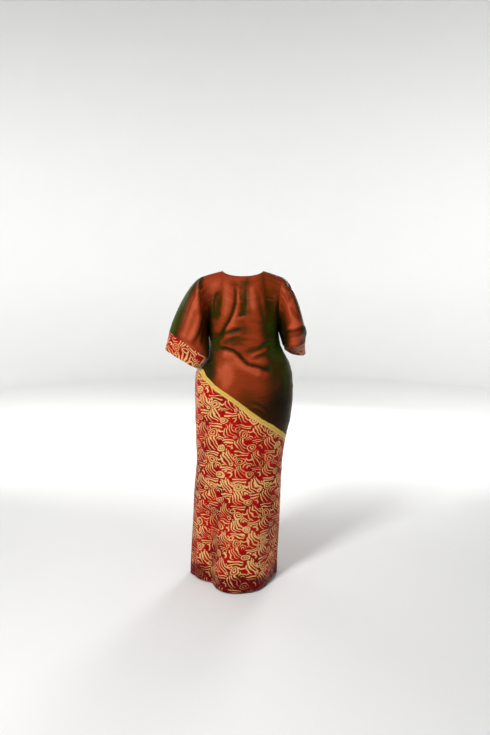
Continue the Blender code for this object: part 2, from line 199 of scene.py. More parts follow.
def sleeve_folds(hand: Hand, *rows: tuple[float, ...]) -> tuple[SleeveFold, ...]:
    """Folds of one sleeve.

    Args:
        hand: the arm whose sleeve carries them.
        rows: for each fold its half width and height in millimetres, its taper in percent, and then the
            round and along of its path in percent, in turn.

    Returns:
        The folds.
    """
    return tuple(SleeveFold(hand, row[0] / MM, row[1] / MM, points_of(row[3:], PERCENT), row[2] / PERCENT)
                 for row in rows)


def tints(side: Side, *rows: tuple[float, ...]) -> tuple[Tint, ...]:
    """Tints of one side.

    Args:
        side: the side that carries them.
        rows: for each tint its x, z and half sizes in millimetres, and then its amount, turn and dark.

    Returns:
        The tints.
    """
    return tuple(Tint(side, *(value / MM for value in row[:4]), *row[4:]) for row in rows)


SECTIONS = (
    Section(-1.441, -0.046, 0.209, 0.205, 0.175, 2.00),
    Section(-1.327, -0.042, 0.207, 0.182, 0.165, 2.00),
    Section(-1.176, -0.033, 0.206, 0.167, 0.155, 2.00),
    Section(-1.026, -0.027, 0.204, 0.158, 0.150, 2.00),
    Section(-0.879, -0.017, 0.200, 0.155, 0.150, 2.10),
    Section(-0.763, -0.011, 0.209, 0.160, 0.154, 2.10),
    Section(-0.680, -0.001, 0.220, 0.163, 0.156, 2.10),
    Section(-0.591, 0.004, 0.225, 0.165, 0.158, 2.10),
    Section(-0.520, 0.004, 0.226, 0.163, 0.160, 2.10),
    Section(-0.460, 0.004, 0.221, 0.160, 0.160, 2.15),
    Section(-0.410, 0.011, 0.200, 0.155, 0.158, 2.20),
    Section(-0.373, 0.011, 0.178, 0.150, 0.155, 2.25),
    Section(-0.335, 0.005, 0.166, 0.148, 0.153, 2.30),
    Section(-0.275, 0.004, 0.157, 0.150, 0.150, 2.30),
)

# The slanting seam as (x, z) over the middle width of the body.
SEAM_LINE = (
    (-0.217, -0.430), (-0.186, -0.447), (-0.162, -0.472), (-0.127, -0.505), (-0.076, -0.539),
    (-0.026, -0.575), (0.025, -0.616), (0.075, -0.653), (0.127, -0.686), (0.180, -0.728), (0.204, -0.753),
)

# The large folds that set the robe's form. Columns: half width, height, taper, then x and z of the path.
MAIN_FOLDS = folds(Side.BACK,
    (15, -8, 0, -34, -55, -31, -90, -33, -131, -45, -173, -63, -210, -96, -259, -135, -311),
    (14, 4, 0, -12, -85, -13, -131, -24, -180, -42, -222, -74, -270),
    (18, -6, 0, 3, -45, -2, -88, 4, -131, 5, -165),
    (30, -7, 0, 57, -50, 83, -123, 105, -200, 119, -276, 128, -343, 150, -440),
    (14, -4.5, 0, -116, -92, -131, -119, -128, -190),
    (14, -7, 0, -114, -333, -76, -335, -42, -344, -19, -360, 8, -387, 25, -403, 58, -414, 112, -422),
    (14, 4, 0, -76, -362, -45, -372, -16, -392, 15, -420, 60, -436),
    (18, -4, 0, -120, -305, -75, -268, -35, -257, 5, -248),
    (22, -5, 0, -9, -665, -13, -800, -12, -960),
    (22, -4.5, 0, 94, -740, 90, -890),
    (45, -26.5, 0, -120, -1000, -155, -1441),
    (42, -30, 0, -165, -1120, -198, -1441),
    (28, -25, 0, -190, -1250, -207, -1441),
    (40, -18, 0, 133, -1220, 143, -1441),
    (30, 3.5, 0, 62, -1220, 70, -1441)
) + folds(Side.FRONT,
    (26, -7, 0, -70, -110, -45, -200, -20, -330),
    (26, -6, 0, 80, -120, 65, -230, 30, -370),
    (22, -6, 0, -120, -350, -50, -385, 20, -430, 110, -450),
    (24, -6, 0, -60, -620, -75, -900, -110, -1441),
    (24, -5.5, 0, 60, -760, 50, -1050, 40, -1441)
)

# The finer creases: drag lines, small tucks and soft ridges beside the large folds. The same columns.
FINE_FOLDS = folds(Side.BACK,
    (5, -4.4, 10, -34, -60, -31, -95, -34, -135, -46, -175, -64, -212, -97, -262, -138, -315),
    (6, 3, 20, -22, -80, -20, -132, -33, -180, -51, -218, -83, -268),
    (8, -3, 30, -6, -50, -10, -92, -9, -126),
    (8, -2.2, 30, 14, -60, 12, -100, 20, -150),
    (10, 2.2, 30, 34, -50, 40, -110, 50, -180),
    (5.5, -3.6, 30, -112, -88, -124, -102, -132, -122),
    (5, -4, 30, -119, -108, -131, -128, -134, -158, -130, -200),
    (5, -3.4, 30, -107, -112, -113, -140, -108, -196),
    (5, 2.2, 30, -120, -122, -122, -150, -119, -196),
    (4.5, -2.2, 30, -96, -100, -101, -128, -99, -160),
    (6, -3, 40, -22, -192, -2, -182, 20, -176),
    (6, 2, 40, -26, -204, -4, -194, 18, -188),
    (6.5, -2.4, 30, -122, -296, -82, -266, -40, -250, 8, -243),
    (7, 2.6, 30, -118, -320, -78, -288, -36, -272, 4, -262),
    (6, -6.2, 16, -116, -334, -80, -333, -44, -342, -20, -358, 6, -386, 20, -399, 36, -404),
    (6, 3.6, 25, -86, -348, -48, -358, -26, -374, -6, -394, 24, -416, 66, -420, 104, -430),
    (5, -2.8, 30, 22, -404, 56, -409, 90, -424, 118, -428),
    (6, -3.6, 30, 136, -298, 112, -306, 86, -322, 66, -340),
    (7, 2.8, 30, 118, -332, 84, -344, 52, -356, 22, -366),
    (6, -2.2, 40, 108, -352, 76, -364, 44, -378),
    (4, -1.6, 40, 98, -108, 122, -114, 148, -124),
    (4, -1.8, 40, 94, -124, 118, -130, 146, -140),
    (4, -1.4, 40, 96, -139, 120, -145, 142, -156),
    (4, -1.4, 40, 100, -154, 121, -160, 138, -170),
    (4, 1.2, 40, 96, -116, 120, -122, 146, -132),
    (7, 3, 30, 138, -90, 146, -130, 144, -180, 136, -230),
    (8, -2.6, 30, 62, -60, 70, -110, 84, -170, 98, -230),
    (6, -1.6, 40, 30, -210, 60, -214, 92, -222),
    (6, -1.6, 40, -30, -300, 10, -292, 52, -296, 88, -306),
    (5, -1.4, 40, -60, -318, -20, -312, 26, -318),
    (17, 3.6, 40, -76, -385, -68, -450, -78, -520),
    (12, -2.4, 40, -150, -370, -138, -410, -142, -470),
    (12, 2.2, 40, -108, -400, -104, -450, -112, -490),
    (5, -1.4, 40, 20, -560, 60, -574, 104, -600, 140, -624),
    (5, -1.2, 40, 30, -590, 70, -606, 110, -634),
    (5, 1, 40, 26, -574, 64, -590, 108, -617),
    (10, -2.6, 40, 176, -420, 190, -500, 186, -600),
    (6, -4.6, 20, -10, -610, -13, -720, -11, -840, -14, -930),
    (6, 1.8, 30, 4, -640, 2, -740, 5, -860),
    (6, -4.4, 30, 94, -700, 91, -800, 87, -880),
    (8, -2, 40, -120, -560, -128, -680, -126, -820),
    (6, -1.6, 40, -100, -700, -40, -712, 30, -716),
    (8, -1.8, 40, 40, -830, 44, -980, 36, -1100),
    (9, -2, 40, -70, -960, -80, -1150, -92, -1330),
    (9, 2, 30, -110, -1050, -118, -1220, -122, -1441),
    (9, -2.2, 40, 134, -1020, 140, -1180, 136, -1330),
    (9, -2.2, 30, 12, -1160, 16, -1300, 12, -1441),
    (7, 2.4, 40, -150, -1365, -90, -1392, -20, -1402, 70, -1388),
    (7, -2.2, 40, -170, -1350, -120, -1378, -60, -1392)
) + folds(Side.FRONT,
    (7, -4, 30, -68, -115, -48, -200, -24, -320),
    (7, -3.6, 30, 82, -120, 68, -225, 36, -350),
    (8, 2.6, 30, -44, -125, -26, -205, -4, -300),
    (8, 2.4, 30, 58, -130, 44, -220, 18, -330),
    (6, -3, 30, -136, -110, -146, -160, -138, -230),
    (6, -2.8, 30, 134, -105, 146, -155, 140, -225),
    (6, -5, 25, -122, -350, -55, -382, 14, -424, 90, -446),
    (7, 3, 30, -110, -366, -50, -402, 14, -444),
    (6, -2.6, 40, 136, -310, 92, -330, 48, -356),
    (6, -1.6, 40, -60, -510, 0, -535, 70, -575),
    (8, -2.6, 20, -62, -640, -77, -900, -108, -1380),
    (8, -2.4, 20, 60, -780, 50, -1050, 41, -1390),
    (9, -2, 40, 130, -850, 126, -1050, 120, -1250),
    (9, -2.2, 40, -140, -700, -150, -950, -160, -1200),
    (9, 2.2, 30, -16, -720, -30, -1000, -40, -1441)
)

# Large and fine folds of the sleeves. Columns: half width, height, taper, then round and along of the path.
SLEEVE_FOLDS = sleeve_folds(Hand.LEFT,
    (16, -8, 0, 80, 4, 62, 16, 45, 34),
    (18, 5, 0, 62, 40, 60, 70, 62, 100),
    (18, -6, 0, 30, 30, 32, 60, 38, 92),
    (18, -6, 0, 130, 10, 145, 45, 150, 85)
) + sleeve_folds(Hand.RIGHT,
    (16, -8, 0, 32, 62, 48, 68, 65, 74, 85, 80),
    (18, 5, 0, 35, 82, 50, 86, 70, 88),
    (14, -5, 0, 75, 8, 60, 22),
    (18, -6, 0, 125, 15, 140, 45, 145, 85)
)

FINE_SLEEVE_FOLDS = sleeve_folds(Hand.LEFT,
    (5.5, -4, 30, 84, 8, 70, 14, 56, 24, 46, 34),
    (5.5, 2.6, 30, 80, 16, 68, 22, 58, 32),
    (6, -2.4, 40, 86, 22, 80, 40, 80, 62),
    (7, -3, 30, 30, 34, 33, 62, 39, 90),
    (7, 2.2, 30, 44, 40, 45, 66, 48, 92),
    (7, -2.6, 30, 128, 14, 144, 45, 150, 80),
    (6, -2, 40, 18, 36, 22, 60, 24, 84)
) + sleeve_folds(Hand.RIGHT,
    (5.5, -4.6, 25, 26, 54, 44, 61, 64, 68, 86, 74),
    (8, 3.2, 30, 34, 70, 54, 78, 76, 84),
    (26, 9, 0, 6, 60, 6, 94),
    (5, -2.8, 30, 76, 10, 70, 20, 66, 30),
    (5, -2.6, 30, 88, 14, 80, 24, 76, 34),
    (6, -2.6, 40, 52, 30, 56, 44, 66, 58),
    (7, -2.6, 30, 124, 18, 138, 45, 144, 80),
    (6, -2.2, 40, 160, 66, 140, 72, 120, 78)
)

# Soft spots over the shot silk: olive and green, partly the weave's own colour and partly painted shade; lit
# copper, a painted highlight; and near black, painted shade. Columns: x, z, half width, half height, amount,
# turn, dark.
TINTS = tints(Side.BACK,
    (-122, -50, 34, 34, -0.34),
    (-72, -120, 20, 70, -0.24),
    (16, -50, 9, 34, 0.26, -0.15, 0.08),
    (6, -112, 16, 40, 0.3, -0.22, 0.14),
    (-6, -150, 24, 20, 0.24, 0, 0.1),
    (-2, -184, 28, 8, 0.22, 0.35),
    (50, -100, 14, 70, -0.34),
    (81, -68, 8, 36, 0.28, -0.1, 0.12),
    (126, -125, 30, 56, 0.16),
    (164, -200, 14, 90, 0.3, -0.1, 0.8),
    (-149, -240, 13, 105, 0.3, 0, 0.88),
    (-112, -145, 14, 50, 0.28, 0, 0.1),
    (60, -286, 40, 18, -0.26, 0.3),
    (-50, -294, 48, 22, 0.46, 0.2, 0.16),
    (46, -338, 50, 12, 0.36, 0.3, 0.14),
    (112, -236, 22, 45, 0.3, -0.1, 0.1),
    (130, -315, 32, 60, 0.3, -0.1, 0.2),
    (-72, -452, 30, 48, -0.62),
    (-20, -400, 40, 14, -0.3, -0.45),
    (30, -480, 60, 70, -0.08),
    (-10, -230, 60, 40, 0.12, 0, 0.1),
    (134, -430, 28, 80, 0.34, -0.12, 0.1),
    (196, -440, 22, 110, 0.28),
    (-150, -425, 22, 50, 0.44, 0.15, 0.5),
    (-118, -336, 30, 10, 0.3, 0, 0.2),
    (50, -590, 70, 42, 0.4, -0.5, 0.2),
    (140, -640, 70, 80, 0.02, -0.55, 0.72),
    (165, -545, 38, 70, 0.04, 0, 0.45)
) + tints(Side.FRONT,
    (10, -160, 20, 60, 0.4, 0.1, 0.15),
    (-130, -300, 30, 80, 0.4, 0, 0.2),
    (149, -240, 12, 100, 0.45, 0, 0.6),
    (120, -420, 40, 120, 0.35, 0, 0.1),
    (80, -600, 80, 50, 0.4, -0.5, 0.4),
    (0, -410, 70, 12, 0.4, -0.5, 0.15),
    (-60, -460, 34, 50, -0.4)
)


# ---------------------------------------------------------------- form


def smooth(value: Points | float) -> Points:
    """Ease from 0 to 1."""
    value = np.clip(value, 0.0, 1.0)
    return value * value * (3.0 - 2.0 * value)


def unit(vectors: Points) -> Points:
    """The vectors at a length of one."""
    return vectors / np.maximum(np.linalg.norm(vectors, axis=-1, keepdims=True), 1e-9)


def half_outline(share: Points, half_width: Points, depth: Points, square: Points) -> tuple[Points, Points]:
    """Place points along half a superellipse by their share of its length.

    Args:
        share: -1 to 1, from one side over the middle to the other.
        half_width: half the width of the outline.
        depth: how far the middle stands from the sides.
        square: exponent of the outline.

    Returns:
        The way across, and the way out from the sides.
    """
    share, half_width, depth, square = np.broadcast_arrays(share, half_width, depth, square)
    angle = np.linspace(0.0, math.pi / 2.0, 61)
    power = 2.0 / square[..., None]
    across = np.sin(angle) ** power * half_width[..., None]
    away = np.cos(angle) ** power * depth[..., None]
    length = np.zeros(across.shape)
    length[..., 1:] = np.cumsum(np.hypot(np.diff(across), np.diff(away)), axis=-1)
    place = np.abs(share) * length[..., -1]
    cell = np.minimum((length[..., 1:] < place[..., None]).sum(axis=-1), 59)[..., None]
    low = np.take_along_axis(length, cell, -1)
    high = np.take_along_axis(length, cell + 1, -1)
    part = np.clip((place[..., None] - low) / np.maximum(high - low, 1e-12), 0.0, 1.0)

    def between(values: Points) -> Points:
        """The values at each point's place."""
        first, last = (np.take_along_axis(values, cell + step, -1) for step in (0, 1))
        return (first + (last - first) * part)[..., 0]

    return np.copysign(between(across), share), between(away)


def distance_to_path(x: Points, z: Points, path: Sequence[tuple[float, float]]) -> tuple[Points, Points]:
    """Measure points from a path of straight pieces.

    Args:
        x: first coordinate of each point.
        z: second coordinate of each point.
        path: the corners of the path.

    Returns:
        The distance to the path, and the share of the path's length at which it lies nearest.
    """
    corners = np.array(path)
    spans = np.diff(corners, axis=0)
    lengths = np.linalg.norm(spans, axis=1)
    starts = np.concatenate(([0.0], np.cumsum(lengths)))
    nearest = np.full(x.shape, 10.0)
    place = np.zeros(x.shape)
    for start, span, length, passed in zip(corners, spans, lengths, starts):
        along = np.clip(((x - start[0]) * span[0] + (z - start[1]) * span[1]) / length**2, 0.0, 1.0)
        gap = np.hypot(x - start[0] - span[0] * along, z - start[1] - span[1] * along)
        closer = gap < nearest
        nearest = np.where(closer, gap, nearest)
        place = np.where(closer, (passed + along * length) / starts[-1], place)
    return nearest, place


def fold_height(x: Points, z: Points, fold: Fold | SleeveFold,
                path: Sequence[tuple[float, float]]) -> Points:
    """How far one fold moves the cloth out at each point.

    Args:
        x: first coordinate of each point.
        z: second coordinate of each point.
        fold: the fold's width, height and taper.
        path: the fold's path in the coordinates of the points.

    Returns:
        The move outward, less than nothing in a trough.
    """
    gap, place = distance_to_path(x, z, path)
    height = fold.height * np.exp(-0.5 * (gap / fold.half_width) ** 2)
    if fold.taper:
        height = height * smooth(place / fold.taper + 0.15) * smooth((1.0 - place) / fold.taper + 0.15)
    return height


@dataclass(frozen=True)
class RobeForm:
    """The worn form of the robe, as points over shares of the way round and levels of the way down.

    A share runs -1 to 1 from the left side seam over the middle to the right one. A level runs 0 at the
    neckline and shoulder seam, 1 at the underarm, 2 at the slanting seam and 3 at the hem.
    """

    underarm_z: float = -0.275
    hem_z: float = -1.441
    neck_half_width: float = 0.089
    neck_depth: tuple[float, float] = (0.065, 0.095)
    neck_drop: tuple[float, float] = (0.021, 0.070)
    shoulder_half_width: float = 0.179
    shoulder_drop: tuple[float, float] = (0.024, 0.029)
    neck_share: float = 8.0 / 14.0
    armhole_depth: float = 0.062
    armhole_inset: float = 0.010
    seam_gap: float = 0.0003
    neck_point_ease: float = 0.0004
    girth: float = 0.48

    def section(self, z: Points) -> tuple[Points, ...]:
        """The section's centre, half width, back depth, front depth and exponent at each height.

        Args:
            z: the heights.

        Returns:
            The five, each with one value for each height.
        """
        heights = [section.z for section in SECTIONS]
        columns = ("centre", "half_width", "back", "front", "square")
        return tuple(np.interp(z, heights, [getattr(section, name) for section in SECTIONS])
                     for name in columns)

    def seam_height(self, share: Points) -> Points:
        """Height of the slanting seam at each share."""
        x = half_outline(share, 0.213, 0.165, 2.1)[0] - 0.001
        return np.interp(x, [point[0] for point in SEAM_LINE], [point[1] for point in SEAM_LINE])

    def top_edge(self, side: Side, share: Points) -> Points:
        """Points of the neckline and of the shoulder seams.

        Args:
            side: the back or the front.
            share: place round the body.

        Returns:
            One point for each share.
        """
        row = 0 if side is Side.BACK else 1
        depth = self.neck_depth[row]
        on_neck = np.clip(share / self.neck_share, -1.0, 1.0)
        neck_x, away = half_outline(on_neck, self.neck_half_width, depth, 2.2)
        neck = np.stack((neck_x, side.value * away, -self.neck_drop[row] * (away / depth) ** 1.4), axis=-1)
        along = np.clip((np.abs(share) - self.neck_share) / (1.0 - self.neck_share), 0.0, 1.0)
        drop = np.where(share < 0.0, self.shoulder_drop[0], self.shoulder_drop[1])
        x = self.neck_half_width + (self.shoulder_half_width - self.neck_half_width) * along
        shoulder = np.stack((np.copysign(x, share), 0.0 * x, -drop * along**1.15), axis=-1)
        return np.where((np.abs(share) <= self.neck_share)[..., None], neck, shoulder)

    def neck_fan(self, share: Points) -> Points:
        """Angle by which the cloth's lines turn outward where they leave the side of the neckline.

        Args:
            share: place round the body.

        Returns:
            The angles in radians.
        """
        place = np.abs(share) / self.neck_share
        rising = (place / 0.9) ** 2
        falling = np.maximum(1.25 - place, 0.0) / 0.35
        return math.radians(34.0) * np.where(place < 0.9, rising, falling)

    def yoke(self, side: Side, share: Points, rise: Points) -> Points:
        """Points above the underarm.

        Args:
            side: the back or the front.
            share: place round the body.
            rise: 0 at the underarm and 1 at the top.

        Returns:
            One point for each share and rise.
        """
        centre, half_width, back, front, square = self.section(np.full(share.shape, self.underarm_z))
        x, away = half_outline(share, half_width, back if side is Side.BACK else front, square)
        bottom = np.stack((centre + x, side.value * away, np.full(share.shape, self.underarm_z)), axis=-1)
        top = self.top_edge(side, share)
        reach = np.radians(90.0 - 32.0 * (1.0 - smooth(np.abs(share) / 0.62)))
        turn = rise * reach
        back_share = (np.cos(turn) - np.cos(reach)) / (1.0 - np.cos(reach))
        up_share = np.sin(turn) / np.sin(reach)
        edge = np.abs(share) ** 3
        bow = np.maximum(np.sin(math.pi * np.clip(rise, 0.0, 1.0)), 0.0) ** (0.76 + 0.24 * rise)
        fan = (np.abs(bottom[..., 1] - top[..., 1]) * np.tan(self.neck_fan(share)) * back_share
               * np.exp(-back_share / 0.07))
        out = np.copysign(1.0, share) * (fan - self.armhole_inset * edge * bow)
        return np.stack((
            bottom[..., 0] + (top[..., 0] - bottom[..., 0]) * np.maximum(up_share, 0.0) ** 1.2 + out,
            top[..., 1] + (bottom[..., 1] - top[..., 1]) * back_share
            + side.value * self.armhole_depth * edge * bow,
            bottom[..., 2] + (top[..., 2] - bottom[..., 2]) * up_share,
        ), axis=-1)

    def body(self, side: Side, share: Points, level: Points) -> Points:
        """Points of the body without its folds.

        Args:
            side: the back or the front.
            share: place round the body.
            level: place down the body.

        Returns:
            One point for each share and level.
        """
        share, level = np.broadcast_arrays(np.asarray(share, float), np.asarray(level, float))
        seam = self.seam_height(share)
        upper = self.underarm_z + (seam - self.underarm_z) * (level - 1.0)
        lower = seam + (self.hem_z - seam) * (level - 2.0)
        z = np.where(level < 2.0, upper, lower)
        centre, half_width, back, front, square = self.section(z)
        x, away = half_outline(share, half_width, back if side is Side.BACK else front, square)
        tube = np.stack((centre + x, side.value * away, z), axis=-1)
        yoke = self.yoke(side, share, np.clip(1.0 - level, 0.0, 1.0))
        return np.where((level < 1.0)[..., None], yoke, tube)

    def normal(self, side: Side, share: Points, level: Points) -> Points:
        """Outward directions of the smooth body.

        Args:
            side: the back or the front.
            share: place round the body.
            level: place down the body.

        Returns:
            One unit direction for each share and level.
        """
        step = 0.01
        across = (self.body(side, np.minimum(share + step, 1.0), level)
                  - self.body(side, np.maximum(share - step, -1.0), level))
        down = (self.body(side, share, np.minimum(level + step, 3.0))
                - self.body(side, share, np.maximum(level - step, 0.0)))
        return unit(np.cross(across, down) * side.value)

    def folds(self, side: Side, point: Points, share: Points, level: Points) -> Points:
        """How far the folds move the cloth out at each point.

        Args:
            side: the back or the front.
            point: points of the smooth body.
            share: place round the body.
            level: place down the body.

        Returns:
            The moves outward.
        """
        x, z = point[..., 0], point[..., 2]
        main, fine = np.zeros(x.shape), np.zeros(x.shape)
        for height, table in ((main, MAIN_FOLDS), (fine, FINE_FOLDS)):
            for fold in table:
                if fold.side is side:
                    height += fold_height(x, z, fold, fold.path)
        seam_ease = smooth((1.0 - np.abs(share)) / 0.12)
        fine_ease = smooth(np.abs(level - 2.0) / 0.06)
        return (main * seam_ease + fine * seam_ease * fine_ease) * smooth(level / 0.18)

    def ripples(self, side: Side, share: Points, level: Points) -> Points:
        """Small puckers where the cloth is drawn up along the seams.

        Args:
            side: the back or the front.
            share: place round the body.
            level: place down the body.

        Returns:
            The moves outward.
        """
        wave = (np.sin(share * 131.0 + 1.3 * side.value) + 0.6 * np.sin(share * 83.0 + 2.1)) * 0.00035
        at_slant = np.exp(-(((level - 2.0) / 0.05) ** 2)) * smooth(np.abs(level - 2.0) / 0.02)
        depth = np.sin(level * 104.0 + 0.7) + 0.7 * np.sin(level * 61.0 + share * 3.0)
        at_side = np.exp(-(((1.0 - np.abs(share)) / 0.08) ** 2)) * smooth((1.0 - np.abs(share)) / 0.03)
        return wave * at_slant + 0.0005 * depth * at_side * smooth((level - 0.1) / 0.2)

    def cloth(self, side: Side, share: Points, level: Points, lift: float = 0.0) -> Points:
        """Points of the folded cloth.

        Args:
            side: the back or the front.
            share: place round the body.
            level: place down the body.
            lift: how far the points stand out from the cloth.

        Returns:
            One point for each share and level.
        """
        share, level = np.broadcast_arrays(np.asarray(share, float), np.asarray(level, float))
        point = self.body(side, share, level)
        out = self.folds(side, point, share, level) + self.ripples(side, share, level) + lift
        return point + self.normal(side, share, level) * out[..., None]

    def top_level(self, side: Side, share: Points, distance: Points | float) -> Points:
        """Level at a distance below the neckline or the shoulder seam.

        Args:
            side: the back or the front.
            share: place round the body.
            distance: the distance along the cloth.

        Returns:
            One level for each share.
        """
        step = 0.01
        below = self.body(side, share, np.full(share.shape, step))
        run = below - self.body(side, share, np.zeros(share.shape))
        on_shoulder = np.abs(share) >= self.neck_share
        length = np.where(on_shoulder, np.abs(run[..., 1]), np.linalg.norm(run, axis=-1))
        return distance * step / length

    def shoulder_gap(self, share: Points) -> Points:
        """Half the gap along the shoulder seam, wider at the neck point."""
        from_point = np.abs(share) - self.neck_share
        return self.seam_gap / 2.0 + self.neck_point_ease * np.exp(-((from_point / 0.05) ** 2))

    def seam_level(self, share: Points, below: float) -> Points:
        """Level at a distance square to the slanting seam.

        Args:
            share: place round the body.
            below: the distance, less than nothing above the seam.

        Returns:
            One level for each share.
        """
        step = 0.01
        inner = np.clip(share, -0.98, 0.98)
        rise = self.seam_height(inner + step) - self.seam_height(inner - step)
        two = np.full(share.shape, 2.0)
        run = self.body(Side.BACK, inner + step, two) - self.body(Side.BACK, inner - step, two)
        run = np.linalg.norm(run, axis=-1)
        slope = run / np.maximum(np.sqrt(np.maximum(run**2 - rise**2, 1e-8)), 1e-4)
        seam = self.seam_height(share)
        drop = below * np.minimum(slope, 1.6)
        return 2.0 + (drop / (self.underarm_z - seam) if below < 0.0 else drop / (seam - self.hem_z))

    def shares(self, cells: int, extra: Sequence[float] = ()) -> Points:
        """Columns from one side seam to the other, with a narrow one beside each seam.

        Args:
            cells: even cells in each half.
            extra: further columns.

        Returns:
            The shares in order.
        """
        reach = self.girth / 2.0
        edge = [1.0 - 0.003 / reach, 1.0 - self.seam_gap / 2.0 / reach]
        half = list(np.linspace(0.0, edge[0], cells + 1)[1:]) + edge[1:]
        return np.array(sorted([-share for share in half] + [0.0] + half + list(extra)))

    def share_at_x(self, x: float, level: float) -> float:
        """The share of the back whose point stands at an x."""
        shares = np.linspace(-0.5, 0.5, 101)
        return float(np.interp(x, self.body(Side.BACK, shares, np.full(101, level))[:, 0], shares))

    def across(self, share: Points, z: Points) -> Points:
        """Length of cloth from the middle line at each point, for patterns on the straight grain."""
        half_width = self.section(z)[1]
        return share * (half_width + 0.033)


FORM = RobeForm()


def surface_normals(points: Points, closed: bool = False) -> Points:
    """Directions square to a grid of points.

    Args:
        points: rows and columns of points.
        closed: whether the last column lies on the first.

    Returns:
        One unit direction for each point.
    """
    if closed:
        loop = points[:, :-1]
        across = np.roll(loop, -1, axis=1) - np.roll(loop, 1, axis=1)
        across = np.concatenate((across, across[:, :1]), axis=1)
    else:
        across = np.gradient(points, axis=1)
    return unit(np.cross(across, np.gradient(points, axis=0)))


# ---------------------------------------------------------------- nodes


class NodeSketch:
    """Short ways to lay out a node tree."""

    def __init__(self, tree: NodeTree) -> None:
        """Work on a tree."""
        self.tree = tree

    def node(self, kind: str, **settings: object) -> Node:
        """Add a node and give it its settings.

        Args:
            kind: the node's type.
            **settings: its settings by name.

        Returns:
            The node.
        """
        made = self.tree.nodes.new(kind)
        for name, value in settings.items():
            setattr(made, name, value)
        return made

    def feed(self, entry: Socket, value: object) -> None:
        """Link a socket to an entry, or write a plain value on it.

        Args:
            entry: the socket to feed.
            value: a socket, a plain value, or None to leave it.
        """
        if isinstance(value, bpy.types.NodeSocket):
            self.tree.links.new(value, entry)
        elif value is not None:
            entry.default_value = value

    def math(self, operation: str, first: object, second: object = None, third: object = None,
             clamp: bool = False) -> Socket:
        """Add a Math node.

        Args:
            operation: what it does.
            first: its first number.
            second: its second number, if any.
            third: its third number, if any.
            clamp: whether it keeps the result between 0 and 1.

        Returns:
            Its result.
        """
        made = self.node("ShaderNodeMath", operation=operation, use_clamp=clamp)
        for entry, value in zip(made.inputs, (first, second, third)):
            self.feed(entry, value)
        return made.outputs[0]

    def wave(self, place: object, pitch: float) -> Socket:
        """A sine of the place that repeats at a pitch in metres."""
        return self.math("SINE", self.math("MULTIPLY", place, 2.0 * math.pi / pitch))

    def vector(self, operation: str, first: object, second: object = None, third: object = None,
               scale: object = None) -> Node:
        """Add a Vector Math node.

        Args:
            operation: what it does.
            first: its first vector.
            second: its second vector, if any.
            third: its third vector, if any.
            scale: its scale, if any.

        Returns:
            The node.
        """
        made = self.node("ShaderNodeVectorMath", operation=operation)
        for entry, value in zip(made.inputs, (first, second, third)):
            self.feed(entry, value)
        if scale is not None:
            self.feed(made.inputs["Scale"], scale)
        return made

    def split(self, vector: Socket) -> tuple[Socket, Socket, Socket]:
        """Take a vector apart.

        Args:
            vector: the vector.

        Returns:
            Its X, Y and Z.
        """
        made = self.node("ShaderNodeSeparateXYZ")
        self.feed(made.inputs[0], vector)
        return made.outputs[0], made.outputs[1], made.outputs[2]

    def join(self, x: object, y: object, z: object = 0.0) -> Socket:
        """Make a vector.

        Args:
            x: its X.
            y: its Y.
            z: its Z.

        Returns:
            The vector.
        """
        made = self.node("ShaderNodeCombineXYZ")
        for entry, value in zip(made.inputs, (x, y, z)):
            self.feed(entry, value)
        return made.outputs[0]

    def ease(self, value: object, low: object, high: object, start: float = 0.0, stop: float = 1.0) -> Socket:
        """A smooth step from start to stop while the value goes from low to high.

        Args:
            value: what is eased.
            low: where the step starts.
            high: where it ends.
            start: the result at low.
            stop: the result at high.

        Returns:
            The result.
        """
        made = self.node("ShaderNodeMapRange", interpolation_type="SMOOTHSTEP")
        for entry, entered in zip(made.inputs, (value, low, high, start, stop)):
            self.feed(entry, entered)
        return made.outputs[0]

    def mix(self, share: object, first: object, second: object, blend: str = "MIX") -> Socket:
        """Mix two colours.

        Args:
            share: how much of the second one.
            first: the first colour.
            second: the second colour.
            blend: how they are mixed.

        Returns:
            The mixed colour.
        """
        made = self.node("ShaderNodeMix", data_type="RGBA", blend_type=blend)
        self.feed(made.inputs[0], share)
        self.feed(made.inputs[6], first)
        self.feed(made.inputs[7], second)
        return made.outputs[2]

    def noise(self, place: Socket, scale: Triple, detail: float = 2.0,
              rough: float = 0.5) -> Socket:
        """A noise whose grains are set per metre in each direction.

        Args:
            place: where it is read.
            scale: grains per metre.
            detail: how many finer layers it has.
            rough: how strong those are.

        Returns:
            The noise, from 0 to 1.
        """
        mapping = self.node("ShaderNodeMapping")
        self.feed(mapping.inputs["Vector"], place)
        mapping.inputs["Scale"].default_value = scale
        made = self.node("ShaderNodeTexNoise")
        made.inputs["Scale"].default_value = 1.0
        made.inputs["Detail"].default_value = detail
        made.inputs["Roughness"].default_value = rough
        self.feed(made.inputs["Vector"], mapping.outputs[0])
        return made.outputs[0]

    def attribute(self, name: str) -> Socket:
        """A number kept on the piece's points."""
        return self.node("ShaderNodeAttribute", attribute_name=name).outputs["Fac"]

    def cloth_place(self) -> Socket:
        """The place on the flat cloth in metres, from the piece's own map."""
        return self.node("ShaderNodeUVMap", uv_map="cloth").outputs[0]

    def object_place(self) -> Socket:
        """The place on the robe in metres."""
        return self.node("ShaderNodeTexCoord").outputs["Object"]

    def group(self, tree: NodeTree, *values: object) -> Socket:
        """Use a node group.

        Args:
            tree: the group's tree.
            *values: what goes into it.

        Returns:
            Its first result.
        """
        made = self.node("ShaderNodeGroup", node_tree=tree)
        for entry, value in zip(made.inputs, values):
            self.feed(entry, value)
        return made.outputs[0]


def new_finish(name: str) -> tuple[Material, NodeSketch, Node]:
    """Start a material.

    Args:
        name: the finish's name.

    Returns:
        The material, its sketch and its Principled shader.
    """
    material = bpy.data.materials.new(name)
    material.use_nodes = True
    return material, NodeSketch(material.node_tree), material.node_tree.nodes["Principled BSDF"]


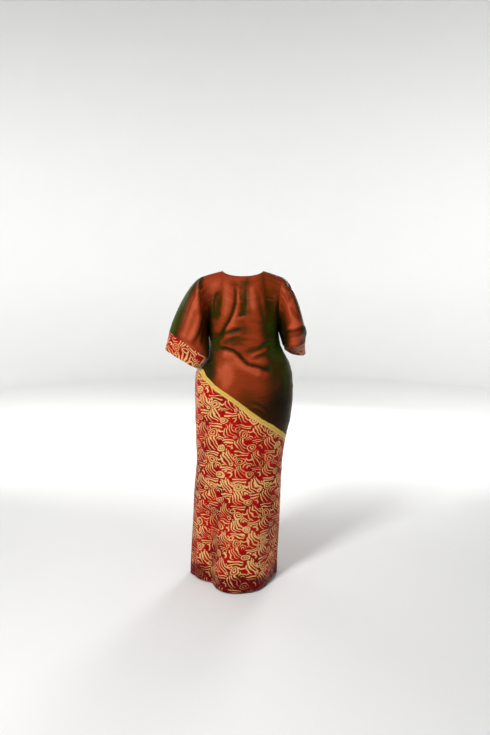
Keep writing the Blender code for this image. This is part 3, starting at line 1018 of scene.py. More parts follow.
def raise_surface(sketch: NodeSketch, shader: Node, height: Socket, distance: float,
                  strength: float) -> None:
    """Turn a height pattern into relief on a shader.

    Args:
        sketch: the tree's sketch.
        shader: the shader that takes the relief.
        height: the pattern, 0 to 1.
        distance: the height of 1, in metres.
        strength: share of the relief that shows.
    """
    bump = sketch.node("ShaderNodeBump")
    bump.inputs["Distance"].default_value = distance
    bump.inputs["Strength"].default_value = strength
    sketch.feed(bump.inputs["Height"], height)
    sketch.feed(shader.inputs["Normal"], bump.outputs[0])


@dataclass(frozen=True)
class ShotSilk:
    """Silk taffeta with a copper warp and an olive-green weft, with fine slubs across it."""

    # The first colour is copper as a painted highlight and the last, near black, is painted shade; copper,
    # bronze, olive and green between them are the weave's shot colours, laid out partly as painted shade.
    highlight_copper: Colour = (0.38, 0.063, 0.022, 1.0)
    copper: Colour = (0.225, 0.028, 0.006, 1.0)
    bronze: Colour = (0.100, 0.020, 0.002, 1.0)
    olive: Colour = (0.030, 0.019, 0.001, 1.0)
    green: Colour = (0.026, 0.048, 0.003, 1.0)
    shade_black: Colour = (0.006, 0.004, 0.001, 1.0)
    roughness: tuple[float, float] = (0.38, 0.54)
    slub_pitch: float = 0.0026
    thread_pitch: float = 0.0009

    def make(self) -> Material:
        """Lay out the silk's nodes.

        Returns:
            The material.
        """
        material, sketch, shader = new_finish("shot_silk_taffeta")
        place = sketch.cloth_place()
        share = sketch.attribute("shot")
        painted_shade = sketch.attribute("painted_shade")
        slow = sketch.noise(sketch.object_place(), (9.0, 9.0, 9.0), 2.0)
        slubs = sketch.noise(place, (11.0, 1.0 / self.slub_pitch, 1.0), 3.0, 0.65)
        ribs = sketch.noise(place, (7.0, 0.30 / self.slub_pitch, 1.0), 2.0)
        warp = sketch.noise(place, (620.0, 30.0, 1.0), 1.0)
        turned = share
        for pattern, reach in ((slubs, 0.30), (slow, 0.34), (ribs, 0.44)):
            turned = sketch.math("ADD", turned, sketch.math("MULTIPLY_ADD", pattern, reach, -reach / 2.0))
        # The ramp runs from the painted copper highlight through the shot colours to green; the share that
        # drives it is partly painted light and shade.
        colour = sketch.mix(sketch.ease(turned, -0.45, 0.05), self.highlight_copper, self.copper)
        for low, high, paint in ((0.05, 0.45, self.bronze), (0.36, 0.74, self.olive),
                                 (0.76, 1.12, self.green)):
            colour = sketch.mix(sketch.ease(turned, low, high), colour, paint)
        # Painted shade: near black where the shade layer is high.
        colour = sketch.mix(sketch.ease(painted_shade, 0.05, 1.0, 0.0, 0.94), colour, self.shade_black)
        streak = sketch.ease(warp, 0.3, 0.7, 0.95, 1.05)
        shaded = sketch.vector("SCALE", colour, scale=streak).outputs[0]
        sketch.feed(shader.inputs["Base Color"], shaded)
        rough = sketch.ease(slubs, 0.35, 0.65, self.roughness[0], self.roughness[1])
        sketch.feed(shader.inputs["Roughness"], rough)
        u, v, _ = sketch.split(place)
        weave = sketch.math("MULTIPLY", sketch.wave(u, self.thread_pitch), sketch.wave(v, self.thread_pitch))
        height = sketch.math("ADD", sketch.math("MULTIPLY", slubs, 0.8), sketch.math("MULTIPLY", ribs, 2.4))
        height = sketch.math("MULTIPLY_ADD", weave, 0.06, height)
        raise_surface(sketch, shader, height, 0.0011, 0.55)
        shader.inputs["Specular IOR Level"].default_value = 0.13
        shader.inputs["Specular Tint"].default_value = (1.0, 0.55, 0.36, 1.0)
        return material


class Motif(Enum):
    """The shapes that the brocade's repeat is drawn with."""

    RING = "ring"
    CRESCENT = "crescent"
    BAR = "bar"
    LEAF = "leaf"


@dataclass(frozen=True)
class Mark:
    """One shape of the repeat, in metres from the repeat's lower left corner.

    Size is a ring's or a crescent's radius, or half the length of a bar or a leaf.
    """

    motif: Motif
    x: float
    y: float
    size: float
    line: float
    turn: float = 0.0
    bend: float = 0.0


@dataclass(frozen=True)
class Brocade:
    """Red satin brocade with a gold figure: ringed spirals, leaf strokes, bars and crescents."""

    gold: Colour = (0.68, 0.43, 0.135, 1.0)
    pale_gold: Colour = (0.90, 0.68, 0.32, 1.0)
    # The rim colour darkens the gold toward the figure's edges: painted shade where the raised gold turns
    # down.
    rim: Colour = (0.46, 0.150, 0.040, 1.0)
    red: Colour = (0.48, 0.002, 0.005, 1.0)
    # Wine is the dark red of random patches and of the band toward the hem, and also painted shade at the
    # flanks, in folds and under the cuffs.
    wine: Colour = (0.115, 0.001, 0.004, 1.0)
    repeat: tuple[float, float] = (0.112, 0.127)
    twill_pitch: float = 0.0012
    thin: float = -0.0010
    full: float = 0.0006
    wine_thins: float = -0.0009
    sway: float = 0.030

    def marks(self) -> list[Mark]:
        """The repeat, charted mark by mark.

        Returns:
            The marks.
        """
        rows = (
            (Motif.RING, 0.024, 0.082, 0.0158, 0.0027),
            (Motif.RING, 0.024, 0.082, 0.0072, 0.0026),
            (Motif.RING, 0.060, 0.015, 0.0138, 0.0026),
            (Motif.RING, 0.060, 0.015, 0.0056, 0.0026),
            (Motif.RING, 0.002, 0.100, 0.0068, 0.0024),
            (Motif.RING, 0.104, 0.066, 0.0060, 0.0025),
            (Motif.CRESCENT, 0.052, 0.096, 0.0092, 0.0040, 3.0),
            (Motif.CRESCENT, 0.052, 0.054, 0.0150, 0.0028, 0.15),
            (Motif.CRESCENT, 0.052, 0.051, 0.0070, 0.0028, 0.15),
            (Motif.CRESCENT, 0.092, 0.014, 0.0100, 0.0038, -0.9),
            (Motif.BAR, 0.0256, 0.1216, 0.0250, 0.0028, -0.07),
            (Motif.BAR, 0.0264, 0.1104, 0.0220, 0.0028, -0.07),
            (Motif.BAR, 0.0857, 0.0494, 0.0200, 0.0027, 0.05),
            (Motif.BAR, 0.0863, 0.0386, 0.0170, 0.0027, 0.05),
        )
        chart = [Mark(*row) for row in rows]
        for k in (-1.5, -0.5, 0.5, 1.5):
            for x, y, step, size in ((0.084, 0.090, 0.0120, 0.0310), (0.020, 0.030, 0.0116, 0.0290)):
                chart.append(Mark(Motif.LEAF, x + 0.866 * step * k, y + 0.5 * step * k, size - 0.004 * abs(k),
                                  0.0030, -1.02 + 0.07 * k, 9.5))
        for x, y in ((0.046, 0.074), (0.072, 0.064), (0.048, 0.110), (0.006, 0.062), (0.080, 0.030),
                     (0.100, 0.030), (0.104, 0.110), (0.082, 0.003), (0.040, 0.034), (0.068, 0.120)):
            chart.append(Mark(Motif.RING, x, y, 0.0, 0.0032))
        return chart

    def motif_tree(self, motif: Motif) -> NodeTree:
        """One shape as a node group that gives the distance from its edge, less than nothing inside.

        Args:
            motif: which shape.

        Returns:
            The group, whose entries are the place, the centre, the turn, the size, the line and the bend.
        """
        tree = bpy.data.node_groups.new("brocade_" + motif.value, "ShaderNodeTree")
        for name, kind in (("Place", "NodeSocketVector"), ("Centre", "NodeSocketVector"),
                           ("Turn", "NodeSocketFloat"), ("Size", "NodeSocketFloat"),
                           ("Line", "NodeSocketFloat"), ("Bend", "NodeSocketFloat")):
            tree.interface.new_socket(name, in_out="INPUT", socket_type=kind)
        tree.interface.new_socket("Distance", in_out="OUTPUT", socket_type="NodeSocketFloat")
        sketch = NodeSketch(tree)
        entry = sketch.node("NodeGroupInput").outputs
        half = (self.repeat[0] / 2.0, self.repeat[1] / 2.0, 1.0)
        offset = sketch.vector("SUBTRACT", entry["Place"], entry["Centre"]).outputs[0]
        near = sketch.vector("WRAP", offset, half, tuple(-value for value in half)).outputs[0]
        rotate = sketch.node("ShaderNodeVectorRotate", rotation_type="Z_AXIS")
        sketch.feed(rotate.inputs["Vector"], near)
        sketch.feed(rotate.inputs["Angle"], sketch.math("MULTIPLY", entry["Turn"], -1.0))
        local = rotate.outputs[0]
        x, y, _ = sketch.split(local)
        line = entry["Line"]
        if motif in (Motif.RING, Motif.CRESCENT):
            radius = sketch.vector("LENGTH", local).outputs["Value"]
            gap = sketch.math("ABSOLUTE", sketch.math("SUBTRACT", radius, entry["Size"]))
            if motif is Motif.CRESCENT:
                rise = sketch.math("DIVIDE", y, entry["Size"])
                line = sketch.math("MULTIPLY", line, sketch.ease(rise, -0.45, 0.75))
        else:
            bow = sketch.math("MULTIPLY", entry["Bend"], sketch.math("MULTIPLY", x, x))
            bent = sketch.math("SUBTRACT", y, bow)
            past = sketch.math("SUBTRACT", sketch.math("ABSOLUTE", x), entry["Size"])
            past = sketch.math("MAXIMUM", past, 0.0)
            gap = sketch.vector("LENGTH", sketch.join(past, bent)).outputs["Value"]
            if motif is Motif.LEAF:
                ratio = sketch.math("DIVIDE", x, entry["Size"])
                thin = sketch.math("MULTIPLY_ADD", ratio, -0.32, 0.88)
                line = sketch.math("MULTIPLY", line, thin)
        distance = sketch.math("SUBTRACT", gap, line)
        if motif is Motif.CRESCENT:
            ends = sketch.math("MULTIPLY", sketch.math("ADD", rise, 0.25), -0.008)
            distance = sketch.math("MAXIMUM", distance, ends)
        sketch.feed(sketch.node("NodeGroupOutput").inputs[0], distance)
        return tree

    def chart_tree(self) -> NodeTree:
        """The whole repeat as a node group that gives the distance from the gold figure's edge.

        Returns:
            The group's tree.
        """
        tree = bpy.data.node_groups.new("brocade_repeat", "ShaderNodeTree")
        tree.interface.new_socket("Place", in_out="INPUT", socket_type="NodeSocketVector")
        tree.interface.new_socket("Distance", in_out="OUTPUT", socket_type="NodeSocketFloat")
        sketch = NodeSketch(tree)
        place = sketch.node("NodeGroupInput").outputs[0]
        motifs = {motif: self.motif_tree(motif) for motif in Motif}
        nearest: Socket | None = None
        for mark in self.marks():
            distance = sketch.group(motifs[mark.motif], place, (mark.x, mark.y, 0.0), mark.turn, mark.size,
                                    mark.line, mark.bend)
            nearest = distance if nearest is None else sketch.math("MINIMUM", nearest, distance)
        sketch.feed(sketch.node("NodeGroupOutput").inputs[0], nearest)
        return tree

    def make(self, chart: NodeTree, name: str, shift: Triple,
             turn: float = 0.0) -> Material:
        """Lay out the brocade's nodes.

        Args:
            chart: the repeat.
            name: the finish's name.
            shift: where the repeat starts on the piece's map, in metres.
            turn: how far the cut turns the repeat, in radians.

        Returns:
            The material.
        """
        material, sketch, shader = new_finish(name)
        mapping = sketch.node("ShaderNodeMapping")
        sketch.feed(mapping.inputs["Vector"], sketch.cloth_place())
        mapping.inputs["Location"].default_value = shift
        mapping.inputs["Rotation"].default_value = (0.0, 0.0, turn)
        place = mapping.outputs[0]
        around = sketch.object_place()
        patch = sketch.noise(around, (7.5, 7.5, 9.0), 1.0)
        wander = sketch.noise(place, (24.0, 24.0, 24.0), 1.0)
        drift = sketch.noise(place, (21.0, 27.0, 3.0), 1.0)
        sway = sketch.join(sketch.math("SUBTRACT", wander, 0.5), sketch.math("SUBTRACT", drift, 0.5))
        sway = sketch.vector("SCALE", sway, scale=self.sway).outputs[0]
        drawn = sketch.vector("ADD", place, sway).outputs[0]
        distance = sketch.group(chart, drawn)
        grow = sketch.ease(patch, 0.38, 0.66, self.thin, self.full)
        # The wine layer thins the gold toward the hem and where it carries painted shade.
        grow = sketch.math("MULTIPLY_ADD", sketch.attribute("wine"), self.wine_thins, grow)
        inside = sketch.math("SUBTRACT", grow, distance)
        figure = sketch.ease(inside, -0.0004, 0.0005)
        fine = sketch.noise(place, (420.0, 420.0, 420.0), 2.0)
        u, v, _ = sketch.split(place)
        twill = sketch.wave(sketch.math("ADD", u, v), self.twill_pitch)
        satin = sketch.wave(v, self.twill_pitch * 0.8)
        shade = sketch.noise(around, (13.0, 13.0, 8.0), 2.0)
        shaded = sketch.ease(shade, 0.42, 0.66, 0.0, 0.62)
        # Ground to wine where the wine layer is high, in part painted shade, and in random patches.
        wine_share = sketch.math("ADD", sketch.attribute("wine"), shaded, clamp=True)
        ground = sketch.mix(wine_share, self.red, self.wine)
        ground = sketch.mix(sketch.ease(fine, 0.3, 0.7, 0.0, 0.45), ground, self.wine)
        gold = sketch.mix(sketch.ease(fine, 0.35, 0.75), self.gold, self.pale_gold)
        # Painted shade: the gold darkens toward the figure's edges.
        gold = sketch.mix(sketch.ease(inside, 0.0002, 0.0018, 0.62, 0.0), gold, self.rim)
        gold = sketch.mix(sketch.ease(twill, -1.0, 1.0, 0.16, 0.0), gold, self.red)
        # Gold darkened where the wine layer is high, in part painted shade.
        gold = sketch.mix(sketch.math("MULTIPLY", sketch.attribute("wine"), 0.38), gold, self.wine)
        colour = sketch.mix(figure, ground, gold)
        sketch.feed(shader.inputs["Base Color"], colour)
        sketch.feed(shader.inputs["Metallic"], sketch.math("MULTIPLY", figure, 0.18))
        sketch.feed(shader.inputs["Roughness"], sketch.ease(figure, 0.0, 1.0, 0.46, 0.40))
        relief = sketch.ease(inside, -0.0006, 0.0016)
        relief = sketch.math("MULTIPLY_ADD", sketch.math("MULTIPLY", twill, figure), 0.10, relief)
        relief = sketch.math("MULTIPLY_ADD", satin, 0.04, relief)
        relief = sketch.math("MULTIPLY_ADD", fine, 0.16, relief)
        raise_surface(sketch, shader, relief, 0.0007, 0.8)
        shader.inputs["Specular IOR Level"].default_value = 0.09
        shader.inputs["Specular Tint"].default_value = (1.0, 0.52, 0.34, 1.0)
        return material


@dataclass(frozen=True)
class PlaitedGold:
    """Yellow-gold braid of two plaited rows between corded edges."""

    gold: Colour = (0.84, 0.57, 0.070, 1.0)
    light: Colour = (0.96, 0.78, 0.25, 1.0)
    shade: Colour = (0.42, 0.21, 0.018, 1.0)
    pitch: float = 0.0052
    half_width: float = 0.00975

    def make(self) -> Material:
        """Lay out the braid's nodes: the map runs along it in X and from its middle in Y.

        Returns:
            The material.
        """
        material, sketch, shader = new_finish("plaited_gold_braid")
        place = sketch.cloth_place()
        u, v, _ = sketch.split(place)
        row = sketch.math("DIVIDE", v, self.half_width)
        from_middle = sketch.math("ABSOLUTE", row)
        in_row = sketch.math("ABSOLUTE", sketch.math("SUBTRACT", from_middle, 0.44))
        slant = sketch.math("MULTIPLY", from_middle, self.half_width * 0.9)
        strands = sketch.wave(sketch.math("ADD", u, slant), self.pitch)
        strand = sketch.ease(strands, -0.75, 0.55)
        round_row = sketch.ease(in_row, 0.36, 0.20)
        edge_turn = sketch.ease(sketch.wave(u, self.pitch * 0.5), -0.9, 0.4, 0.55, 1.0)
        edge = sketch.math("MULTIPLY", sketch.ease(from_middle, 0.82, 0.90), edge_turn)
        edge = sketch.math("MULTIPLY", edge, 0.8)
        height = sketch.math("ADD", sketch.math("MULTIPLY", strand, round_row), edge)
        thread = sketch.noise(place, (1500.0, 300.0, 300.0), 2.0)
        # Painted shade: the shade colour fills the dips between strands.
        colour = sketch.mix(sketch.ease(height, 0.05, 0.75), self.shade, self.gold)
        shine = sketch.math("MULTIPLY", sketch.ease(thread, 0.40, 0.70), 0.55)
        colour = sketch.mix(shine, colour, self.light)
        sketch.feed(shader.inputs["Base Color"], colour)
        sketch.feed(shader.inputs["Roughness"], sketch.ease(thread, 0.3, 0.7, 0.34, 0.48))
        height = sketch.math("MULTIPLY_ADD", thread, 0.20, height)
        raise_surface(sketch, shader, height, 0.0009, 0.9)
        shader.inputs["Metallic"].default_value = 0.30
        return material


@dataclass(frozen=True)
class Thread:
    """Sewing thread, twisted of two plies."""

    name: str
    colour: tuple[float, ...]
    light: tuple[float, ...]
    roughness: float = 0.45

    def make(self) -> Material:
        """Lay out the thread's nodes.

        Returns:
            The material.
        """
        material, sketch, shader = new_finish(self.name)
        place = sketch.object_place()
        twist = sketch.noise(place, (900.0, 900.0, 900.0), 2.0)
        colour = sketch.mix(sketch.ease(twist, 0.35, 0.65), self.colour, self.light)
        sketch.feed(shader.inputs["Base Color"], colour)
        raise_surface(sketch, shader, twist, 0.0003, 0.6)
        shader.inputs["Roughness"].default_value = self.roughness
        return material


@dataclass(frozen=True)
class DarkButton:
    """Dark polished button with fine turned rings and a worn rim."""

    dark: Colour = (0.020, 0.012, 0.010, 1.0)
    worn: Colour = (0.10, 0.055, 0.035, 1.0)

    def make(self) -> Material:
        """Lay out the button's nodes.

        Returns:
            The material.
        """
        material, sketch, shader = new_finish("dark_button")
        grain = sketch.noise(sketch.object_place(), (700.0, 700.0, 2200.0), 3.0)
        colour = sketch.mix(sketch.ease(grain, 0.45, 0.75), self.dark, self.worn)
        sketch.feed(shader.inputs["Base Color"], colour)
        sketch.feed(shader.inputs["Roughness"], sketch.ease(grain, 0.3, 0.7, 0.24, 0.42))
        raise_surface(sketch, shader, grain, 0.0002, 0.5)
        return material


# ---------------------------------------------------------------- sheets


WELD = 0.00001
SHARP = math.radians(48.0)


@dataclass
class Cut:
    """The flat cut of a piece of cloth, and how it is held."""

    width: float
    length: float
    held: str
    area: float | None = None
    rests_on: tuple[str, ...] = ()


def object_of(bm: bmesh.types.BMesh, name: str, all_smooth: bool = True) -> Piece:
    """Make a finished bmesh an object of the scene.

    Args:
        bm: the mesh, which is freed.
        name: the object's name.
        all_smooth: whether every face is shaded smooth.

    Returns:
        The object, at the origin.
    """
    if all_smooth:
        for face in bm.faces:
            face.smooth = True
    mesh = bpy.data.meshes.new(name)
    bm.to_mesh(mesh)
    bm.free()
    made = bpy.data.objects.new(name, mesh)
    bpy.context.scene.collection.objects.link(made)
    return made


def lay_sheet(name: str, points: Points, cloth_map: Points, layers: dict[str, Points], wall: float,
              closed: bool = False, grow: float = -1.0, flip: bool = False) -> Piece:
    """Make one thin piece of cloth over a grid of points.

    Args:
        name: the piece's name.
        points: rows and columns of points.
        cloth_map: for each point, its place on the flat cloth in metres.
        layers: numbers for each point, by name.
        wall: how thick the cloth is.
        closed: whether the last column is sewn to the first.
        grow: -1 if the wall lies inside the points, 1 if outside.
        flip: whether the columns run the other way so that the faces point outward.

    Returns:
        The piece, with its wall.
    """
    if flip:
        points, cloth_map = points[:, ::-1], cloth_map[:, ::-1]
        layers = {key: values[:, ::-1] for key, values in layers.items()}
    rows, columns = points.shape[:2]
    bm = bmesh.new()
    bmesh.ops.create_grid(bm, x_segments=columns - 1, y_segments=rows - 1, size=1.0)
    bm.verts.ensure_lookup_table()
    kept = {key: bm.verts.layers.float.new(key) for key in layers}
    flat = {key: values.reshape(-1) for key, values in layers.items()}
    places = cloth_map.reshape(-1, 2)
    uv = bm.loops.layers.uv.new("cloth")
    for face in bm.faces:
        for loop in face.loops:
            loop[uv].uv = places[loop.vert.index]
    for vertex, point in zip(bm.verts, points.reshape(-1, 3)):
        vertex.co = point
    for key, layer in kept.items():
        values = flat[key]
        for vertex in bm.verts:
            vertex[layer] = float(values[vertex.index])
    if closed:
        bmesh.ops.remove_doubles(bm, verts=bm.verts, dist=WELD)
    piece = object_of(bm, name)
    solidify = piece.modifiers.new("cloth_wall", "SOLIDIFY")
    solidify.thickness = wall
    solidify.offset = grow
    solidify.use_quality_normals = True
    bpy.context.view_layer.update()
    walled = bpy.data.meshes.new_from_object(piece.evaluated_get(bpy.context.evaluated_depsgraph_get()))
    walled.name = name
    piece.modifiers.clear()
    piece.data = walled
    walled.set_sharp_from_angle(angle=SHARP)
    return piece


def place_piece(piece: Piece, material: Material,
                replaces: str | None = None) -> Piece:
    """Give a piece its finish and its body, and hide the solid that it stands for.

    Args:
        piece: the finished piece.
        material: its finish.
        replaces: the solid that it stands for.

    Returns:
        The piece.
    """
    piece.data.materials.clear()
    piece.data.materials.append(material)
    if replaces:
        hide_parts(replaces)
    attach(piece, BODY)
    triangles = sum(len(polygon.vertices) - 2 for polygon in piece.data.polygons)
    LOG.info("%s: %d triangles", piece.name, triangles)
    return piece


def local_part(values: Points, reach: int) -> Points:
    """Keep the narrow part of a grid's values, less their mean over the cells round each.

    Args:
        values: one value for each point.
        reach: cells each way.

    Returns:
        What is left of the values.
    """
    mean = values
    for axis in (0, 1):
        room = [(reach + 1, reach) if row == axis else (0, 0) for row in (0, 1)]
        total = np.cumsum(np.pad(mean, room, mode="edge"), axis=axis)
        ahead = np.take(total, range(2 * reach + 1, total.shape[axis]), axis=axis)
        behind = np.take(total, range(0, total.shape[axis] - 2 * reach - 1), axis=axis)
        mean = (ahead - behind) / (2 * reach + 1)
    return values - mean


def silk_layers(points: Points, normals: Points, relief: Points, side: Side | None, to_left: float,
                to_right: float) -> dict[str, Points]:
    """How far the shot silk turns green and how dark it lies at each point.

    Args:
        points: points of the cloth.
        normals: outward directions of the cloth.
        relief: how far each point stands out of the cloth round it.
        side: the side of the body, or None on a sleeve.
        to_left: the green share where the cloth faces left, a painted sheen of the shot weave.
        to_right: the green share where it faces right, painted sheen and painted shade on the side away from
            the key light.

    Returns:
        The layers of the silk's finish: shot, from a painted copper highlight below 0 to green above 1,
        partly the weave's shot colour and partly painted shade, and the shade layer, from 0 to 1 toward
        near-dark painted shade.
    """
    # Green by facing: a painted sheen of the shot weave where the cloth turns, and painted shade on the side
    # away from the key light.
    facing = normals[..., 0] - local_part(normals[..., 0], 6)
    turned = smooth((np.abs(facing) - 0.28) / 0.62)
    share = 0.17 + turned * np.where(facing < 0.0, to_left, to_right)
    # Troughs turn toward olive as painted shade, ridges toward copper as a painted highlight.
    share = share + 0.42 * np.clip(-relief / 0.0025, 0.0, 1.0) - 0.55 * np.clip(relief / 0.0018, 0.0, 1.0)
    # Painted shade: darkening in the fold troughs.
    dark = 0.62 * smooth((-relief - 0.0004) / 0.0034)
    # The tints add listed spots of painted highlight, painted shade and green.
    for tint in TINTS:
        if tint.side is side:
            x = points[..., 0] - tint.x
            z = points[..., 2] - tint.z
            turned_x = x * math.cos(tint.turn) + z * math.sin(tint.turn)
            turned_z = z * math.cos(tint.turn) - x * math.sin(tint.turn)
            spot = np.exp(-0.5 * ((turned_x / tint.half_width) ** 2 + (turned_z / tint.half_height) ** 2))
            share = share + tint.amount * spot
            dark = dark + tint.dark * spot
    return {"shot": np.clip(share, -0.5, 1.2), "painted_shade": np.clip(dark, 0.0, 1.0)}


# ---------------------------------------------------------------- sub-assemblies


@dataclass
class BodyPanel:
    """The shot-silk back or front, from the neck to the slanting seam."""

    side: Side
    finish: Material
    cut: Cut
    wall: float = 0.0016
    cells: int = 72
    yoke_rows: int = 72
    hip_rows: int = 84
    braid_width: float = 0.0195
    slit_x: float = 0.020
    slit_width: float = 0.0020
    slit_depth: float = 0.0012
    slit_length: float = 0.024
    relief_reach: int = 5
    stitch_channel: float = 0.0005
    stitch_inset: float = 0.005
    # Green shares where the cloth faces left and right: painted sheen of the shot weave, and on the right
    # painted shade.
    green_left: float = 0.42
    green_right: float = 0.58
    eased_share: float = 0.08
    eased_times: int = 30

    def levels(self, shares: Points) -> Points:
        """Rows of levels from the top to the slanting seam.

        Args:
            shares: the share of each column.

        Returns:
            One level for each point.
        """
        top = [FORM.top_level(self.side, shares, FORM.shoulder_gap(shares)),
               FORM.top_level(self.side, shares, 0.003)]
        first = np.maximum(top[1], 0.0)
        yoke = [first + (1.0 - first) * k / self.yoke_rows for k in range(1, self.yoke_rows + 1)]
        edge = FORM.seam_level(shares, -self.braid_width / 2.0)
        hip = [1.0 + (edge - 1.0) * k / self.hip_rows for k in range(1, self.hip_rows + 1)]
        return np.array(top + yoke + hip + [FORM.seam_level(shares, -FORM.seam_gap / 2.0)])

    def ease_neck_points(self, points: Points, shares: Points) -> Points:
        """Soften the crease that each corner of the neckline would send down the cloth.

        Args:
            points: the panel's rows and columns of points.
            shares: the share of each column.

        Returns:
            The points, moved a little below the two corners.
        """
        near = np.exp(-(((np.abs(shares) - FORM.neck_share) / self.eased_share) ** 2))
        below = smooth((np.arange(len(points)) - 2.0) / 6.0)
        weight = (near[None, :] * below[:, None])[..., None]
        for _ in range(self.eased_times):
            middle = points.copy()
            middle[:, 1:-1] = 0.25 * points[:, :-2] + 0.5 * points[:, 1:-1] + 0.25 * points[:, 2:]
            points = points + weight * (middle - points)
        return points

    def build(self) -> Piece:
        """Lay the panel's cloth, with its closed slit, and dress it.

        Returns:
            The panel.
        """
        slit = FORM.share_at_x(self.slit_x, 0.04)
        half = self.slit_width / 2.0 / 0.2
        extra = (slit - half, slit, slit + half) if self.side is Side.BACK else ()
        shares = FORM.shares(self.cells, extra)
        levels = self.levels(shares)
        share_grid = np.broadcast_to(shares, levels.shape)
        points = FORM.cloth(self.side, share_grid, levels)
        points = self.ease_neck_points(points, shares)
        smooth_body = self.ease_neck_points(FORM.body(self.side, share_grid, levels), shares)
        normals = surface_normals(points) * self.side.value
        down = np.zeros(levels.shape)
        down[1:] = np.cumsum(np.linalg.norm(np.diff(points, axis=0), axis=-1), axis=0)
        on_neck = np.abs(share_grid) < FORM.neck_share * 0.97
        neck_line = np.exp(-(((down - self.stitch_inset) / 0.0016) ** 2)) * on_neck
        points = points - normals * (self.stitch_channel * neck_line)[..., None]
        grain = np.stack((FORM.across(share_grid, smooth_body[..., 2]), -down), axis=-1)
        relief = local_part(np.sum((points - smooth_body) * normals, axis=-1), self.relief_reach)
        layers = silk_layers(points, normals, relief, self.side, self.green_left, self.green_right)
        if self.side is Side.BACK:
            in_slit = (np.abs(share_grid - slit) < half / 2.0) & (down < self.slit_length)
            points = points - normals * (self.slit_depth * in_slit)[..., None]
            # Inside the closed slit the silk is set to its darkest: painted shade.
            layers = {key: np.where(in_slit, 1.0, values) for key, values in layers.items()}
        name = self.side.word + "_panel"
        piece = lay_sheet(name + "_silk", points, grain, layers, self.wall, flip=self.side is Side.BACK)
        return place_piece(piece, self.finish, name)


@dataclass
class SkirtPanel:
    """The brocade back or front, from the slanting seam to the hem."""

    side: Side
    finish: Material
    cut: Cut
    wall: float = 0.0020
    cells: int = 56
    rows: int = 140
    braid_width: float = 0.0195
    hem_depth: float = 0.014
    # The wine layer darkens the brocade toward the hem, and adds painted shade at the flanks and in the fold
    # troughs.
    wine_depth: float = 0.066
    shade_at_sides: float = 0.75
    shade_in_folds: float = 0.36
    fold_full: float = 0.0034
    relief_reach: int = 5

    def build(self) -> Piece:
        """Lay the skirt's cloth with its turned-up hem and dress it.

        Returns:
            The panel.
        """
        shares = FORM.shares(self.cells)
        edge = FORM.seam_level(shares, self.braid_width / 2.0)
        rows = [FORM.seam_level(shares, FORM.seam_gap / 2.0), edge]
        rows += [edge + (3.0 - edge) * k / self.rows for k in range(1, self.rows + 1)]
        levels = np.array(rows)
        share_grid = np.broadcast_to(shares, levels.shape)
        points = FORM.cloth(self.side, share_grid, levels)
        normals = surface_normals(points) * self.side.value
        height = points[..., 2] - FORM.hem_z
        channel = np.exp(-(((height - self.hem_depth) / 0.003) ** 2)) * 0.0007
        points = points - normals * channel[..., None]
        grain = np.stack((FORM.across(share_grid, points[..., 2]), points[..., 2]), axis=-1)
        wave = 0.012 * np.sin(share_grid * 7.0 + 0.8) + 0.006 * np.sin(share_grid * 17.0)
        # Darker toward the hem, over the hem depth.
        wine = smooth((self.wine_depth + wave - height) / 0.018)
        # Painted shade where the skirt turns away at the flanks.
        wine = np.maximum(wine, self.shade_at_sides * smooth((np.abs(share_grid) - 0.80) / 0.25))
        outward = np.sum((points - FORM.body(self.side, share_grid, levels)) * normals, axis=-1)
        # Painted shade in the fold troughs.
        trough = smooth(-local_part(outward, self.relief_reach) / self.fold_full)
        layers = {"wine": np.clip(wine + self.shade_in_folds * trough, 0.0, 1.0)}
        name = "skirt_" + self.side.word
        piece = lay_sheet(name + "_brocade", points, grain, layers, self.wall, flip=self.side is Side.BACK)
        return place_piece(piece, self.finish, name)


@dataclass
class SlantBraid:
    """The gold braid that covers the slanting seam on one side."""

    side: Side
    finish: Material
    cut: Cut
    wall: float = 0.0014
    lift: float = 0.0004
    width: float = 0.0195
    cells: int = 70

    def build(self) -> Piece:
        """Lay the braid with two rounded rows and dress it.

        Returns:
            The braid.
        """
        shares = FORM.shares(self.cells)
        offsets = np.linspace(-self.width / 2.0, self.width / 2.0, 19)
        offsets = np.where(np.abs(offsets) < 1e-6, 1e-6, offsets)
        levels = np.array([FORM.seam_level(shares, float(offset)) for offset in offsets])
        share_grid = np.broadcast_to(shares, levels.shape)
        points = FORM.cloth(self.side, share_grid, levels, self.lift)
        normals = surface_normals(points) * self.side.value
        row = np.abs(np.abs(offsets) / (self.width / 2.0) - 0.44)
        crown = 0.0007 * smooth((0.42 - row) / 0.34)
        ends = smooth((1.0 - np.abs(share_grid)) / 0.02)
        points = points + normals * (crown[:, None] * ends)[..., None]
        along = np.zeros(levels.shape)
        along[:, 1:] = np.cumsum(np.linalg.norm(np.diff(points, axis=1), axis=-1), axis=1)
        along[:] = along[len(offsets) // 2]
        grain = np.stack((along, np.broadcast_to(offsets[:, None], levels.shape)), axis=-1)
        name = "braid_" + self.side.word
        piece = lay_sheet(name + "_gold", points, grain, {}, self.wall, grow=1.0, flip=self.side is Side.BACK)
        return place_piece(piece, self.finish, name)


